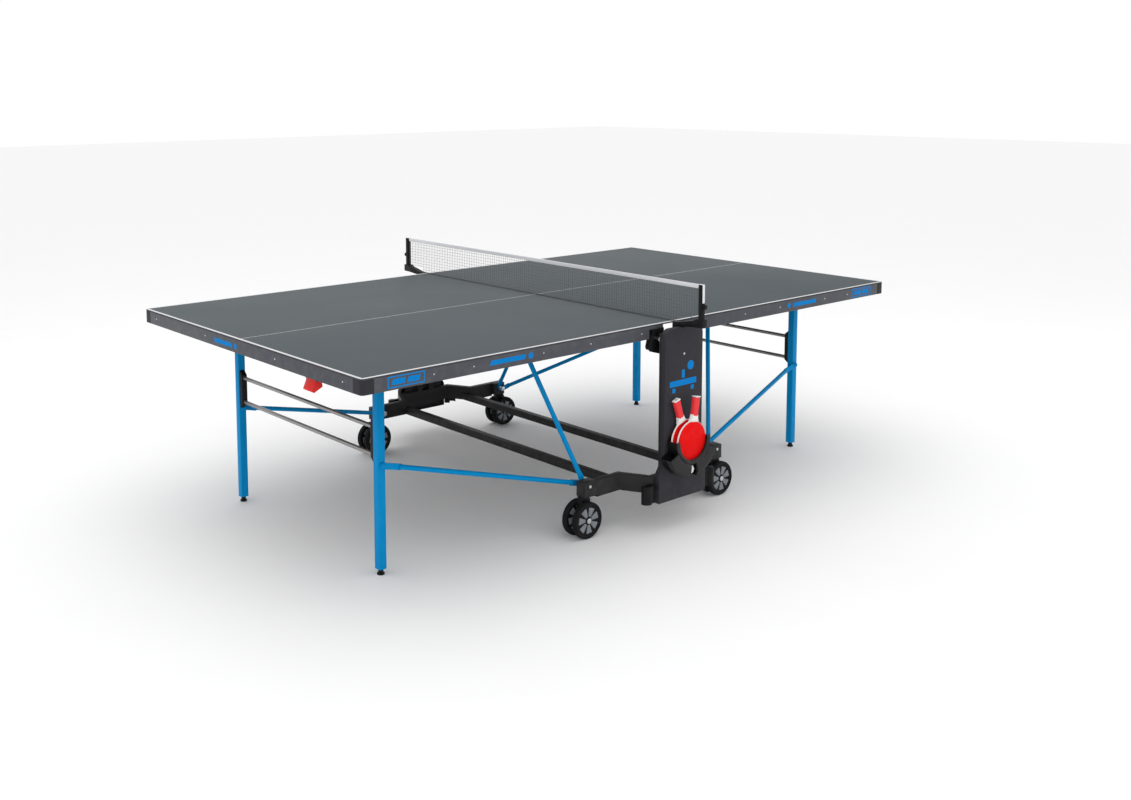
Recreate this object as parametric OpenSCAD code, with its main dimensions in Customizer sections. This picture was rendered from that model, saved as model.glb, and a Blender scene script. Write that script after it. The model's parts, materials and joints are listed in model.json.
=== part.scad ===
// Folding ping pong table: two halves on a wheeled carriage, each with a leg pair,
// a net across the middle and a bat holder on both side panels.
// X runs along the table, Y across it, Z up; the origin is on the floor under the net.

/* [Top] */
// Length of the playing surface
top_length = 2740; // [2280:10:3290]
// Width of the playing surface
top_width = 1525; // [1270:5:1830]
// Height of the playing surface above the floor
playing_height = 760; // [660:5:915]
// Thickness of each playing board
board_thickness = 6; // [4:0.5:10]
// Gap between the two boards under the net
half_gap = 3; // [1:0.5:6]
// Radius of the outer corners
corner_radius = 14; // [6:1:20]

/* [Aprons] */
// Depth of the edge apron, board included
apron_depth = 52; // [46:1:64]
// Sheet thickness of the apron
apron_wall = 2.5; // [1.5:0.5:4]
// Width of the apron's inward flanges
apron_flange = 18; // [10:1:24]
// Length of each plastic corner cap along both edges
cap_length = 46; // [36:1:60]
// Distance from the net line to the end of a side apron
apron_start = 52; // [40:1:60]

/* [Legs] */
// Width of the square leg tube
leg_width = 28; // [22:1:34]
// Wall of the square tubes
tube_wall = 2; // [1.5:0.5:3]
// Distance from the table's end to the leg centre
leg_from_end = 254; // [200:1:320]
// Distance from the table's side to the leg centre
leg_from_side = 286.5; // [240:0.5:340]
// Depth of the leg hinge pin below the playing surface
leg_hinge_depth = 43; // [40:1:50]
// Diameter of the rods that join a leg pair
rod_diameter = 15; // [10:1:17]
// Height of the upper leg rod
upper_rod_height = 500; // [440:5:540]
// Height of the lower leg rod
lower_rod_height = 405; // [380:5:430]
// Height of the adjustable foot under the tube
foot_height = 20; // [14:1:30]
// Diameter of the foot
foot_diameter = 26; // [20:1:40]

/* [Stays] */
// Diameter of the stay tubes
stay_diameter = 17.5; // [12:0.5:18]
// Width of the flattened stay ends
blade_width = 22; // [18:1:26]
// Thickness of the flattened stay ends
blade_thickness = 5; // [3:0.5:5.5]
// Diameter of the stay pivot pins
stay_pin = 12; // [8:1:14]
// Distance from the net line to the lower stay pivot
stay_pivot_x = 342; // [320:1:370]
// Height of the lower stay pivot
stay_pivot_z = 183; // [180:1:200]
// Distance from the net line to the top stay's upper pivot
top_stay_x = 507; // [460:1:560]
// Depth of the top stay's upper pivot below the playing surface
top_stay_depth = 60; // [54:1:70]

/* [Carriage] */
// Height of the side bars
bar_height = 62; // [50:1:70]
// Thickness of the side bars
bar_thickness = 25; // [20:1:28]
// Lower face of the side bars above the floor
bar_bottom = 143; // [140:1:150]
// Width of the two cross beams
beam_width = 28; // [22:1:34]
// Height of the two cross beams
beam_height = 30; // [24:1:40]
// Distance from the net line to each cross beam
beam_x = 178; // [172:1:182]
// Half width of the slotted upright plate
upright_half_width = 104; // [101:1:118]
// Thickness of the slotted upright plate
upright_plate = 5; // [4:0.5:6]
// Diameter of the guide pins that run in the slots
guide_pin = 14; // [10:1:16]
// Gap between the folded playing surface and the net line
folded_gap = 40; // [36:1:60]
// Depth of the side panel shell
panel_depth = 23; // [18:1:30]
// Wall of the side panel shell
panel_wall = 3; // [2:0.5:5]

/* [Castors] */
// Diameter of the castor wheels
wheel_diameter = 135; // [113:1:140]
// Width of each wheel
wheel_width = 24; // [18:1:26]
// Distance between the two wheels of a castor, centre to centre
wheel_spacing = 52; // [48:1:60]
// Distance from the net line to the castor stem
castor_x = 358; // [350:1:366]
// Offset of the axle from the stem
castor_trail = 8; // [0:1:12]

/* [Net] */
// Height of the net above the playing surface
net_height = 152.5; // [127:0.5:183]
// Distance from the table's side to the net post centre
post_overhang = 136.5; // [120:0.5:165]
// Width of the square net post
post_width = 17; // [12:1:22]
// Height of the white tape
tape_height = 15; // [10:1:20]

/* [Bats and ball] */
// Diameter of a bat blade
blade_diameter = 152; // [140:1:156]
// Height of the bat holder's centre
holder_height = 335; // [320:5:360]
// Diameter of the ball
ball_diameter = 40; // [38:1:42]

/* [Hidden] */
$fn = 48;

blue = "#0a84bf";
black = "#1c1c1e";
charcoal = "#3c3b3f";
apron_grey = "#57555a";
top_grey = "#666d70";
steel = "#9a9a9e";
red = "#e0201c";

edge_y = top_width / 2;
end_x = top_length / 2;
surface = playing_height;
board_under = surface - board_thickness;
weld_gap = 0.5;

// Fold geometry: the guide pin drops straight down its slot while the half turns upright.
pin_depth = 52;
pin_x = folded_gap + pin_depth;
pin_z = surface - pin_depth;
top_stay_z = surface - top_stay_depth;
top_stay_length = norm([top_stay_x - stay_pivot_x, top_stay_z - stay_pivot_z]);
folded_lean = stay_pivot_x - folded_gap - top_stay_depth;
folded_base = stay_pivot_z + sqrt(pow(top_stay_length, 2) - pow(folded_lean, 2)) - top_stay_x;
pin_low_z = folded_base + pin_x;

// Leg and leg stay: the stay joins the leg where its length suits both end positions.
leg_x = end_x - leg_from_end;
leg_y = edge_y - leg_from_side;
hinge_z = surface - leg_hinge_depth;
hinge_rise = folded_base + leg_x - hinge_z;
stay_square_loss = pow(leg_x - stay_pivot_x, 2)
  - pow(stay_pivot_x - folded_gap - leg_hinge_depth, 2);
leg_stay_drop = (folded_base + leg_x + hinge_z - 2 * stay_pivot_z - stay_square_loss / hinge_rise) / 2;
leg_stay_z = hinge_z - leg_stay_drop;

// Lanes across the table, from the side inwards, that keep the moving pieces apart.
bar_inner_y = edge_y + 8.5;
bar_outer_y = bar_inner_y + bar_thickness;
panel_back_y = bar_outer_y + 1;
plate_inner_y = panel_back_y - upright_plate;
panel_front_y = panel_back_y + panel_depth;
wing_y = edge_y - 71.5;
bracket_inner_y = wing_y - 45;
top_blade_low_y = bracket_inner_y - 3;
leg_blade_low_y = top_blade_low_y - 23;
leg_blade_high_y = leg_y + leg_width / 2 + 0.8 + blade_thickness / 2;
top_blade_high_y = leg_blade_high_y + 14.7;
lug_y = top_blade_high_y + blade_thickness / 2 + 1.5;
rail_inner_y = lug_y + 5.5;
rail_outer_y = rail_inner_y + 22;
rail_depth = 26;

// Side bar, plan view.
bar_end_x = 316;
jog_outer_x = 200;
jog_inner_x = 144;
jog_rise = bar_outer_y - wing_y;
jog_angle = atan2(jog_rise, jog_outer_x - jog_inner_x);
bar_top = bar_bottom + bar_height;

wheel_radius = wheel_diameter / 2;
castor_y = wing_y - 26;
axle_radius = 5;
stem_radius = 6;
fit_clearance = 0.05;

post_y = edge_y + post_overhang;
arm_half_width = 13;
post_top = surface + net_height;
post_foot = surface + 26;

module both_sides() {
  children();
  mirror([0, 1, 0]) children();
}

module both_ends() {
  children();
  mirror([1, 0, 0]) children();
}

// Half pieces are drawn on the right and mirrored for the left.
module on_half(side) {
  mirror([side < 0 ? 1 : 0, 0, 0]) children();
}

// The four quarter positions: side picks left or right, face picks near or far.
module on_quarter(side, face) {
  mirror([side < 0 ? 1 : 0, 0, 0]) mirror([0, face < 0 ? 1 : 0, 0]) children();
}

module box(low, high) {
  translate(low) cube([high[0] - low[0], high[1] - low[1], high[2] - low[2]]);
}

// Cylinder along Y between two values of Y.
module y_rod(x, z, y_low, y_high, radius) {
  translate([x, y_high, z]) rotate([90, 0, 0]) cylinder(r = radius, h = y_high - y_low);
}

// Profile in the X-Z plane, extruded along Y.
module y_plate(y_low, y_high) {
  translate([0, y_high, 0]) rotate([90, 0, 0]) linear_extrude(y_high - y_low) children();
}

// Profile in the Y-Z plane, extruded along X.
module x_plate(x_low, x_high) {
  translate([x_low, 0, 0]) rotate([90, 0, 90]) linear_extrude(x_high - x_low) children();
}

// ---- Carriage ----

// Corners of one half of the jogged bar's outline, set in from its outer face.
function bar_corner(x, y, inset) = [x - inset * tan(jog_angle / 2), y - inset];
function bar_half(inset, end) = [
  [end, wing_y - inset],
  bar_corner(jog_outer_x, wing_y, inset),
  bar_corner(jog_inner_x, bar_outer_y, inset)];
function mirrored(points) = [for (i = [len(points) - 1:-1:0]) [-points[i][0], points[i][1]]];
function backwards(points) = [for (i = [len(points) - 1:-1:0]) points[i]];
function bar_line(inset, end) = concat(bar_half(inset, end), mirrored(bar_half(inset, end)));
function bar_outline(inset, end) =
  concat(bar_line(inset, end), backwards(bar_line(bar_thickness - inset, end)));

module side_bar() {
  color(black) difference() {
    translate([0, 0, bar_bottom]) linear_extrude(bar_height) polygon(bar_outline(0, bar_end_x));
    translate([0, 0, bar_bottom + tube_wall]) linear_extrude(bar_height - 2 * tube_wall)
      polygon(bar_outline(tube_wall, bar_end_x + 1));
  }
}

module side_bar_near() { mirror([0, 1, 0]) side_bar(); }
module side_bar_far() { side_bar(); }

// Outline of one beam in plan; its ends meet the bent inner face of the side bars.
function beam_outline(wall, over) =
  let (low = beam_x - beam_width / 2 + wall, high = beam_x + beam_width / 2 - wall,
    bend = bar_corner(jog_outer_x, wing_y, bar_thickness),
    square_y = bend[1] + over, cut_y = square_y + (bend[0] - low) * tan(jog_angle))
  [[high, -square_y], [high, square_y], [bend[0], square_y], [low, cut_y],
    [low, -cut_y], [bend[0], -square_y]];

beam_open_end = 5;

// Two beams across the carriage.
module cross_beams() {
  color(black) both_ends() difference() {
    translate([0, 0, bar_bottom + 1]) linear_extrude(beam_height) polygon(beam_outline(0, 0));
    translate([0, 0, bar_bottom + 1 + tube_wall]) linear_extrude(beam_height - 2 * tube_wall)
      polygon(beam_outline(tube_wall, beam_open_end));
  }
}

slot_half_width = guide_pin / 2 + 0.3;
upright_top = surface - 29;
post_low_x = 20;
post_high_x = 45;

// Slotted plate for the two guide pins on two posts that stand on the side bar.
module upright() {
  color(black) difference() {
    box([-upright_half_width, plate_inner_y, bar_top], [upright_half_width, panel_back_y, upright_top]);
    both_ends() {
      box([pin_x - slot_half_width, plate_inner_y - 1, pin_low_z],
        [pin_x + slot_half_width, panel_back_y + 1, pin_z]);
      for (z = [pin_low_z, pin_z])
        y_rod(pin_x, z, plate_inner_y - 1, panel_back_y + 1, slot_half_width);
    }
  }
  color(black) both_ends() difference() {
    box([post_low_x, bar_inner_y, bar_top], [post_high_x, plate_inner_y, upright_top]);
    box([post_low_x + tube_wall, bar_inner_y + tube_wall, bar_top - 1],
      [post_high_x - tube_wall, plate_inner_y - tube_wall, upright_top + 1]);
  }
}

module upright_near() { mirror([0, 1, 0]) upright(); }
module upright_far() { upright(); }

panel_low = 106;
panel_top = surface - 13;
panel_waist_low = 213;
panel_waist_high = 253;
panel_corner = 34;
rib_x = 28;
rib_lift = 5;
panel_top_half = 102;
panel_low_half = 127;

module panel_outline(inset) {
  half = panel_top_half - inset;
  round_r = panel_corner - inset;
  top = panel_top - inset;
  union() {
    polygon([[-panel_low_half + inset, panel_low + inset], [panel_low_half - inset, panel_low + inset],
      [panel_low_half - inset, panel_waist_low], [half, panel_waist_high],
      [half, top - round_r], [half - round_r, top - round_r], [half - round_r, top],
      [round_r - half, top], [round_r - half, top - round_r], [-half, top - round_r],
      [-half, panel_waist_high], [-panel_low_half + inset, panel_waist_low]]);
    for (s = [-1, 1]) translate([s * (half - round_r), top - round_r]) circle(r = round_r);
  }
}

// Shell with its open side towards the carriage, and two ribs that seat on the posts.
module side_panel() {
  color(charcoal) {
    difference() {
      y_plate(panel_back_y, panel_front_y) panel_outline(0);
      y_plate(panel_back_y - 1, panel_front_y - panel_wall) panel_outline(panel_wall);
    }
    both_ends() box([rib_x, panel_back_y, bar_top + rib_lift],
      [rib_x + panel_wall, panel_front_y - panel_wall, panel_top - panel_wall]);
  }
}

module side_panel_near() { mirror([0, 1, 0]) side_panel(); }
module side_panel_far() { side_panel(); }

flap_x = 171;
flap_y = bar_outer_y + 2;
flap_low = 112;
flap_height = 68;
flap_radius = 21;
flap_wall = 4;
flap_floor = 3;
flap_tail = 34;
flap_tail_half = 12;
flap_back = 8;
flap_clear = 40;
bar_seat_gap = 0.5;

// Half-round bumper beside the foot of each panel.
module panel_flaps() {
  color(black) both_sides() both_ends() difference() {
    translate([flap_x, flap_y, flap_low]) union() {
      cylinder(r = flap_radius, h = flap_height);
      translate([-flap_tail, -flap_tail_half, 0]) cube([flap_tail, 2 * flap_tail_half, flap_height]);
    }
    translate([flap_x, flap_y, flap_low - flap_floor])
      cylinder(r = flap_radius - flap_wall, h = flap_height);
    box([flap_x - flap_clear, flap_y - flap_clear, flap_low - 1],
      [flap_x + flap_clear, flap_y - flap_back, flap_low + flap_height + 1]);
    translate([0, 0, flap_low - 1]) linear_extrude(flap_height + 2)
      polygon(bar_outline(-bar_seat_gap, bar_end_x));
  }
}

holder_back_y = panel_front_y;
cradle_r = blade_diameter / 2 + 8;
tray_r = cradle_r + ball_diameter + 14;
holder_wall = 4;
holder_depth = 52;
tray_end_angle = 25;
back_plate_low = 45;
back_plate_height = 60;
lip_depth = 3;
lip_width = 8;
ball_gap_half = 15;
ball_gap_depth = 16;
ball_gap_rise = 10;

// Ring sector under the bats, drawn about the holder's centre.
module lower_sector(r_in, r_out, end_angle) {
  reach = 2 * r_out;
  difference() {
    circle(r = r_out);
    circle(r = r_in);
    polygon([[0, 0], [reach * cos(end_angle), -reach * sin(end_angle)], [reach, reach],
      [-reach, reach], [-reach * cos(end_angle), -reach * sin(end_angle)]]);
  }
}

// Moulded holder: a cradle for two bats with a ball tray curved round it.
module holder() {
  color(black) translate([0, 0, holder_height]) difference() {
    union() {
      y_plate(holder_back_y, holder_back_y + holder_wall) {
        lower_sector(0, tray_r, tray_end_angle);
        translate([-cradle_r, -back_plate_low]) square([2 * cradle_r, back_plate_height]);
      }
      y_plate(holder_back_y, holder_back_y + holder_depth)
        lower_sector(cradle_r, cradle_r + holder_wall, 0);
      y_plate(holder_back_y + holder_depth - lip_depth, holder_back_y + holder_depth)
        lower_sector(cradle_r - lip_width, cradle_r + holder_wall, 0);
      y_plate(holder_back_y, holder_back_y + holder_depth)
        lower_sector(tray_r - holder_wall, tray_r, tray_end_angle);
      y_plate(holder_back_y + holder_depth - lip_depth, holder_back_y + holder_depth)
        lower_sector(cradle_r, tray_r, tray_end_angle);
    }
    box([-ball_gap_half, holder_back_y + holder_depth - ball_gap_depth, -tray_r - 1],
      [ball_gap_half, holder_back_y + holder_depth + 1, -cradle_r - ball_gap_rise]);
  }
}

module holder_near() { mirror([0, 1, 0]) holder(); }
module holder_far() { holder(); }

// Net post on a bracket that reaches over the side panel.
module net_posts() {
  color(black) both_sides() {
    x_plate(-arm_half_width, arm_half_width) polygon([
      [bar_inner_y, upright_top], [bar_outer_y, upright_top],
      [bar_outer_y, panel_top + 0.5], [panel_front_y + 2, panel_top + 2.5],
      [post_y - 30, surface - 6], [post_y + 16, surface - 4], [post_y + 16, post_foot],
      [post_y - 15, post_foot], [post_y - 31, surface + 18], [bar_inner_y + 31, surface + 4],
      [bar_inner_y, surface - 1]]);
    box([-post_width / 2, post_y - post_width / 2, post_foot],
      [post_width / 2, post_y + post_width / 2, post_top - 1]);
  }
}

net_inner_y = post_y - post_width / 2;
net_thickness = 2;

net_bottom = surface + 2;
tape_skin = 1;
tail_half_width = 6;
tail_clear = 12;

// Mesh between the posts, cut clear of the brackets at its lower corners.
module net() {
  half_outline = [[edge_y + 18, net_bottom], [post_y - 31, surface + 20],
    [post_y - 15, post_foot + 2], [net_inner_y, post_foot + 2], [net_inner_y, post_top - tape_height]];
  color("#2f3238") x_plate(-net_thickness / 2, net_thickness / 2)
    polygon(concat(half_outline, mirrored(half_outline)));
}

// White tape along the net's upper edge, over each post and down its outer face.
module net_tape() {
  post_outer_y = post_y + post_width / 2;
  color("white") {
    box([-net_thickness, -net_inner_y, post_top - tape_height],
      [net_thickness, net_inner_y, post_top]);
    both_sides() {
      box([-tail_half_width, net_inner_y, post_top - tape_skin],
        [tail_half_width, post_outer_y + tape_skin, post_top]);
      box([-tail_half_width, post_outer_y, knob_z + tail_clear],
        [tail_half_width, post_outer_y + tape_skin, post_top]);
    }
  }
}

knob_z = surface + 72;
knob_neck = 3;
knob_neck_radius = 4;
knob_length = 12;
knob_radius = 9;

module net_knob() {
  color(black) {
    base_y = post_y + post_width / 2;
    y_rod(0, knob_z, base_y, base_y + knob_neck, knob_neck_radius);
    y_rod(0, knob_z, base_y + knob_neck, base_y + knob_length, knob_radius);
  }
}

module net_knob_near() { mirror([0, 1, 0]) net_knob(); }
module net_knob_far() { net_knob(); }

castor_block_z = 150;
castor_block_end = 18;
stem_bore_depth = 42;

// Block at each end of a side bar; the castor stem turns in its bore.
module castor_brackets() {
  color(black) both_sides() both_ends() difference() {
    box([bar_end_x, bracket_inner_y, castor_block_z],
      [castor_x + castor_block_end, wing_y, bar_top]);
    translate([castor_x, castor_y, castor_block_z - 1])
      cylinder(r = stem_radius + fit_clearance, h = stem_bore_depth);
  }
}

pin_reach = 8;
pin_gap = 3;
pin_shoulder = 4;

// One shouldered pin per bracket carries the top stay and the leg stay.
module stay_pivot_pins() {
  r = stay_pin / 2;
  color(steel) both_sides() both_ends() {
    y_rod(stay_pivot_x, stay_pivot_z, leg_blade_low_y - pin_reach, bracket_inner_y, r);
    y_rod(stay_pivot_x, stay_pivot_z, leg_blade_low_y + pin_gap, top_blade_low_y - pin_gap,
      r + pin_shoulder);
    y_rod(stay_pivot_x, stay_pivot_z, leg_blade_low_y - pin_reach, leg_blade_low_y - pin_gap,
      r + pin_shoulder);
  }
}

// ---- Playing half ----

module half_plan() {
  union() {
    polygon([[half_gap / 2, -edge_y], [end_x - corner_radius, -edge_y],
      [end_x - corner_radius, -edge_y + corner_radius], [end_x, -edge_y + corner_radius],
      [end_x, edge_y - corner_radius], [end_x - corner_radius, edge_y - corner_radius],
      [end_x - corner_radius, edge_y], [half_gap / 2, edge_y]]);
    for (s = [-1, 1]) translate([end_x - corner_radius, s * (edge_y - corner_radius)])
      circle(r = corner_radius);
  }
}

module board() {
  color(top_grey) translate([0, 0, board_under]) linear_extrude(board_thickness) half_plan();
}

module left_board() { on_half(-1) board(); }
module right_board() { on_half(1) board(); }

apron_low_flange = 12.6;

// Channel section, its web on the outer face and both flanges inward.
module apron_section() {
  drop = apron_depth - board_thickness;
  polygon([[0, 0], [-apron_flange, 0], [-apron_flange, -apron_wall], [-apron_wall, -apron_wall],
    [-apron_wall, apron_wall - drop], [-apron_low_flange, apron_wall - drop],
    [-apron_low_flange, -drop], [0, -drop]]);
}

module end_apron() {
  color(apron_grey) translate([end_x, edge_y - cap_length, board_under]) rotate([90, 0, 0])
    linear_extrude(2 * (edge_y - cap_length)) apron_section();
}

module left_end_apron() { on_half(-1) end_apron(); }
module right_end_apron() { on_half(1) end_apron(); }

bracket_top = surface - 18;
bracket_far_x = 122;
bracket_low = surface - 114;
bracket_gap = 3;
bracket_thickness = 24;
cap_wall = 4;

// The end of each side apron is cut away where the guide bracket sits.
module side_aprons() {
  color(apron_grey) both_sides() difference() {
    x_plate(apron_start, end_x - cap_length) translate([edge_y, board_under]) apron_section();
    box([apron_start - 1, edge_y - apron_flange - 1, surface - apron_depth - 1],
      [bracket_far_x + bracket_gap, edge_y + 1, bracket_top + weld_gap]);
  }
}

module left_side_aprons() { on_half(-1) side_aprons(); }
module right_side_aprons() { on_half(1) side_aprons(); }

// Plan of a cap's hollow; its corner keeps the cap's wall all the way round.
module cap_hollow() {
  start_x = end_x - cap_length - 1;
  start_y = edge_y - cap_length - 1;
  round_x = end_x - corner_radius;
  round_y = edge_y - corner_radius;
  union() {
    polygon([[start_x, start_y], [end_x - cap_wall, start_y], [end_x - cap_wall, round_y],
      [round_x, round_y], [round_x, edge_y - cap_wall], [start_x, edge_y - cap_wall]]);
    translate([round_x, round_y]) circle(r = corner_radius - cap_wall);
  }
}

module corner_caps() {
  drop = apron_depth - board_thickness;
  color(black) both_sides() difference() {
    translate([0, 0, board_under - drop]) linear_extrude(drop) intersection() {
      half_plan();
      translate([end_x - cap_length, edge_y - cap_length]) square(cap_length);
    }
    translate([0, 0, board_under - drop - 1]) linear_extrude(drop - cap_wall + 1) cap_hollow();
  }
}

module left_corner_caps() { on_half(-1) corner_caps(); }
module right_corner_caps() { on_half(1) corner_caps(); }

rail_start = 30;
cross_rail_x = [165, (pin_x + leg_x) / 2 + 36, leg_x + 49];
cheek_gap = 1;
cheek_thickness = 6;
hinge_pin_radius = 5;
cheek_radius = 20;
cheek_lap = 19;
cross_rail_half = 10;
lug_radius = 14;
lug_top_gap = 12;

// Steel frame under the board: two rails along it, three across, stay lugs and leg hinges.
module under_frame(side) {
  color(black) {
    both_sides() box([rail_start, rail_inner_y, surface - rail_depth],
      [end_x - apron_flange - 2, rail_outer_y, board_under - weld_gap]);
    for (x = cross_rail_x) box([x - cross_rail_half, weld_gap - rail_inner_y, surface - rail_depth],
      [x + cross_rail_half, rail_inner_y - weld_gap, board_under - weld_gap]);
    both_sides() for (x = cross_rail_x)
      box([x - cross_rail_half, rail_outer_y + weld_gap, surface - rail_depth],
        [x + cross_rail_half, edge_y - apron_flange - 1, board_under - weld_gap]);
    both_sides() y_plate(lug_y, rail_inner_y - weld_gap) union() {
      translate([top_stay_x - lug_radius, top_stay_z])
        square([2 * lug_radius, top_stay_depth - lug_top_gap]);
      translate([top_stay_x, top_stay_z]) circle(r = lug_radius);
    }
    both_sides() leg_hinge();
    translate([0, side * handle_side, 0]) handle_bracket();
  }
}

// U-shaped bracket under the board, with the pin that the release handle turns on.
module handle_bracket() {
  top = board_under - weld_gap;
  outer_y = handle_half_width + 1 + handle_cheek;
  box([handle_x - handle_bracket_half, -outer_y, top - handle_sheet],
    [handle_x + handle_bracket_half, outer_y, top]);
  both_sides() box([handle_x - handle_bracket_half, handle_half_width + 1, handle_z - handle_eye],
    [handle_x + handle_bracket_half, outer_y, top]);
  y_rod(handle_x, handle_z, -handle_half_width - 2, handle_half_width + 2, handle_pin_radius);
}

// Two cheeks and a pin that the leg top turns on.
module leg_hinge() {
  half_tube = leg_width / 2;
  for (s = [-1, 1]) {
    near = leg_y + s * (half_tube + cheek_gap);
    far = near + s * cheek_thickness;
    y_plate(min(near, far), max(near, far)) union() {
      translate([leg_x - cheek_radius, hinge_z])
        square([2 * cheek_radius, surface - rail_depth + cheek_lap - hinge_z]);
      translate([leg_x, hinge_z]) circle(r = cheek_radius);
    }
  }
  y_rod(leg_x, hinge_z, leg_y - half_tube - cheek_gap - 1, leg_y + half_tube + cheek_gap + 1,
    hinge_pin_radius);
}

module left_under_frame() { on_half(-1) under_frame(-1); }
module right_under_frame() { on_half(1) under_frame(1); }

// Plastic bracket at the inner end of each side apron, bored for the guide pin.
module guide_brackets() {
  color(black) both_sides() difference() {
    y_plate(edge_y - bracket_thickness, edge_y) polygon([[apron_start - 5, bracket_top],
      [104, bracket_top], [bracket_far_x, surface - 84], [bracket_far_x - 4, surface - 94],
      [104, surface - 98], [100, surface - 104], [66, bracket_low], [apron_start - 5, bracket_low]]);
    y_rod(pin_x, pin_z, edge_y - bracket_thickness - 1, edge_y + 1, guide_pin / 2 + fit_clearance);
  }
}

module left_guide_brackets() { on_half(-1) guide_brackets(); }
module right_guide_brackets() { on_half(1) guide_brackets(); }

collar_width = 5;
collar_gap = 0.6;
collar_step = 5;

// Guide pin with a collar that runs along the inner face of the slotted plate.
module guide_pins() {
  color(steel) both_sides() {
    y_rod(pin_x, pin_z, edge_y - bracket_thickness + 1, panel_back_y - weld_gap, guide_pin / 2);
    y_rod(pin_x, pin_z, plate_inner_y - collar_width - collar_gap, plate_inner_y - collar_gap,
      guide_pin / 2 + collar_step);
  }
}

module left_guide_pins() { on_half(-1) guide_pins(); }
module right_guide_pins() { on_half(1) guide_pins(); }

handle_x = end_x - 46;
handle_z = surface - 62;
handle_side = 420;
handle_half_width = 28;
handle_pin_radius = 3;
handle_arm = 32;
handle_arm_half = 6;
handle_arm_thick = 5;
handle_eye = 9;
handle_cheek = 4;
handle_sheet = 2.5;
handle_bracket_half = 12;
rod_depth = rail_depth + 4.5;
lock_rod_radius = 4;
lock_bar_x = 130;
lock_bar_end = 28;
lock_rod_gap = 6;

// Lever under the end apron; its upper arm pushes the lock rod inwards.
module release_handle(side) {
  color(red) translate([0, side * handle_side, 0]) difference() {
    union() {
      y_plate(-handle_half_width, handle_half_width) union() {
        translate([handle_x, handle_z]) circle(r = handle_eye);
        polygon([[handle_x - handle_eye, handle_z], [handle_x - 14, handle_z - 30],
          [handle_x + 18, handle_z - 46], [handle_x + 26, handle_z - 40],
          [handle_x + handle_eye, handle_z]]);
      }
      box([handle_x - handle_arm_thick, -handle_arm_half, handle_z],
        [handle_x + handle_arm_thick, handle_arm_half, handle_z + handle_arm + handle_arm_thick]);
    }
    y_rod(handle_x, handle_z, -handle_half_width - 1, handle_half_width + 1,
      handle_pin_radius + fit_clearance);
  }
}

module left_release_handle() { on_half(-1) release_handle(-1); }
module right_release_handle() { on_half(1) release_handle(1); }

// Rod from the handle to a bar across the half that works both lock bolts.
module lock_rod(side) {
  z = surface - rod_depth;
  color(steel) {
    translate([lock_bar_x + lock_rod_radius + weld_gap, side * handle_side, z]) rotate([0, 90, 0])
      cylinder(r = lock_rod_radius, h = handle_x - lock_rod_gap - lock_bar_x - lock_rod_radius - weld_gap);
    y_rod(lock_bar_x, z, lock_bar_end - edge_y, edge_y - lock_bar_end, lock_rod_radius);
  }
}

module left_lock_rod() { on_half(-1) lock_rod(-1); }
module right_lock_rod() { on_half(1) lock_rod(1); }

// ---- Legs ----

plug_height = 24;
screw_radius = 5;

// Square tube with a plug in its lower end, threaded for the foot.
module legs() {
  half_tube = leg_width / 2;
  core = half_tube - tube_wall;
  color(blue) both_sides() difference() {
    box([leg_x - half_tube, leg_y - half_tube, foot_height],
      [leg_x + half_tube, leg_y + half_tube, hinge_z + half_tube]);
    box([leg_x - core, leg_y - core, foot_height + plug_height],
      [leg_x + core, leg_y + core, hinge_z + half_tube + 1]);
    translate([leg_x, leg_y, foot_height - 1])
      cylinder(r = screw_radius + fit_clearance, h = plug_height + 2);
    y_rod(leg_x, hinge_z, leg_y - leg_width, leg_y + leg_width, hinge_pin_radius + fit_clearance);
  }
}

module left_legs() { on_half(-1) legs(); }
module right_legs() { on_half(1) legs(); }

bracket_reach = 22;
leg_bracket_half = 11;
leg_bracket_slope = 18;
leg_bracket_low = lower_rod_height - 27;
leg_bracket_high = upper_rod_height + 30;
leg_inner_y = leg_y - leg_width / 2;

// Wedge-shaped bracket on the inner face of each leg, which holds both rods.
module leg_brackets() {
  color(black) both_sides() x_plate(leg_x - leg_bracket_half, leg_x + leg_bracket_half) polygon([
    [leg_inner_y, leg_bracket_low], [leg_inner_y, leg_bracket_high],
    [leg_inner_y - bracket_reach, leg_bracket_high - leg_bracket_slope],
    [leg_inner_y - bracket_reach, leg_bracket_low + leg_bracket_slope]]);
}

module left_leg_brackets() { on_half(-1) leg_brackets(); }
module right_leg_brackets() { on_half(1) leg_brackets(); }

module leg_rods() {
  reach = leg_inner_y - bracket_reach;
  color(steel) for (z = [lower_rod_height, upper_rod_height])
    y_rod(leg_x, z, -reach, reach, rod_diameter / 2);
}

module left_leg_rods() { on_half(-1) leg_rods(); }
module right_leg_rods() { on_half(1) leg_rods(); }

foot_pad = 6;
foot_neck_step = 4;
screw_reach = 14;

// Screw-in foot: pad, neck and threaded stem.
module foot(side, face) {
  color(black) on_quarter(side, face) translate([leg_x, leg_y, 0]) {
    cylinder(r = foot_diameter / 2, h = foot_pad);
    cylinder(r = foot_diameter / 2 - foot_neck_step, h = foot_height - 2);
    cylinder(r = screw_radius, h = foot_height + plug_height + screw_reach);
  }
}

module foot_left_near() { foot(-1, -1); }
module foot_left_far() { foot(-1, 1); }
module foot_right_near() { foot(1, -1); }
module foot_right_far() { foot(1, 1); }

// ---- Stays ----

blade_straight = 42;
long_blade = 78;
blade_lap = 8;
bolt_head_height = 4;
bolt_head_radius = 8;

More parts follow.
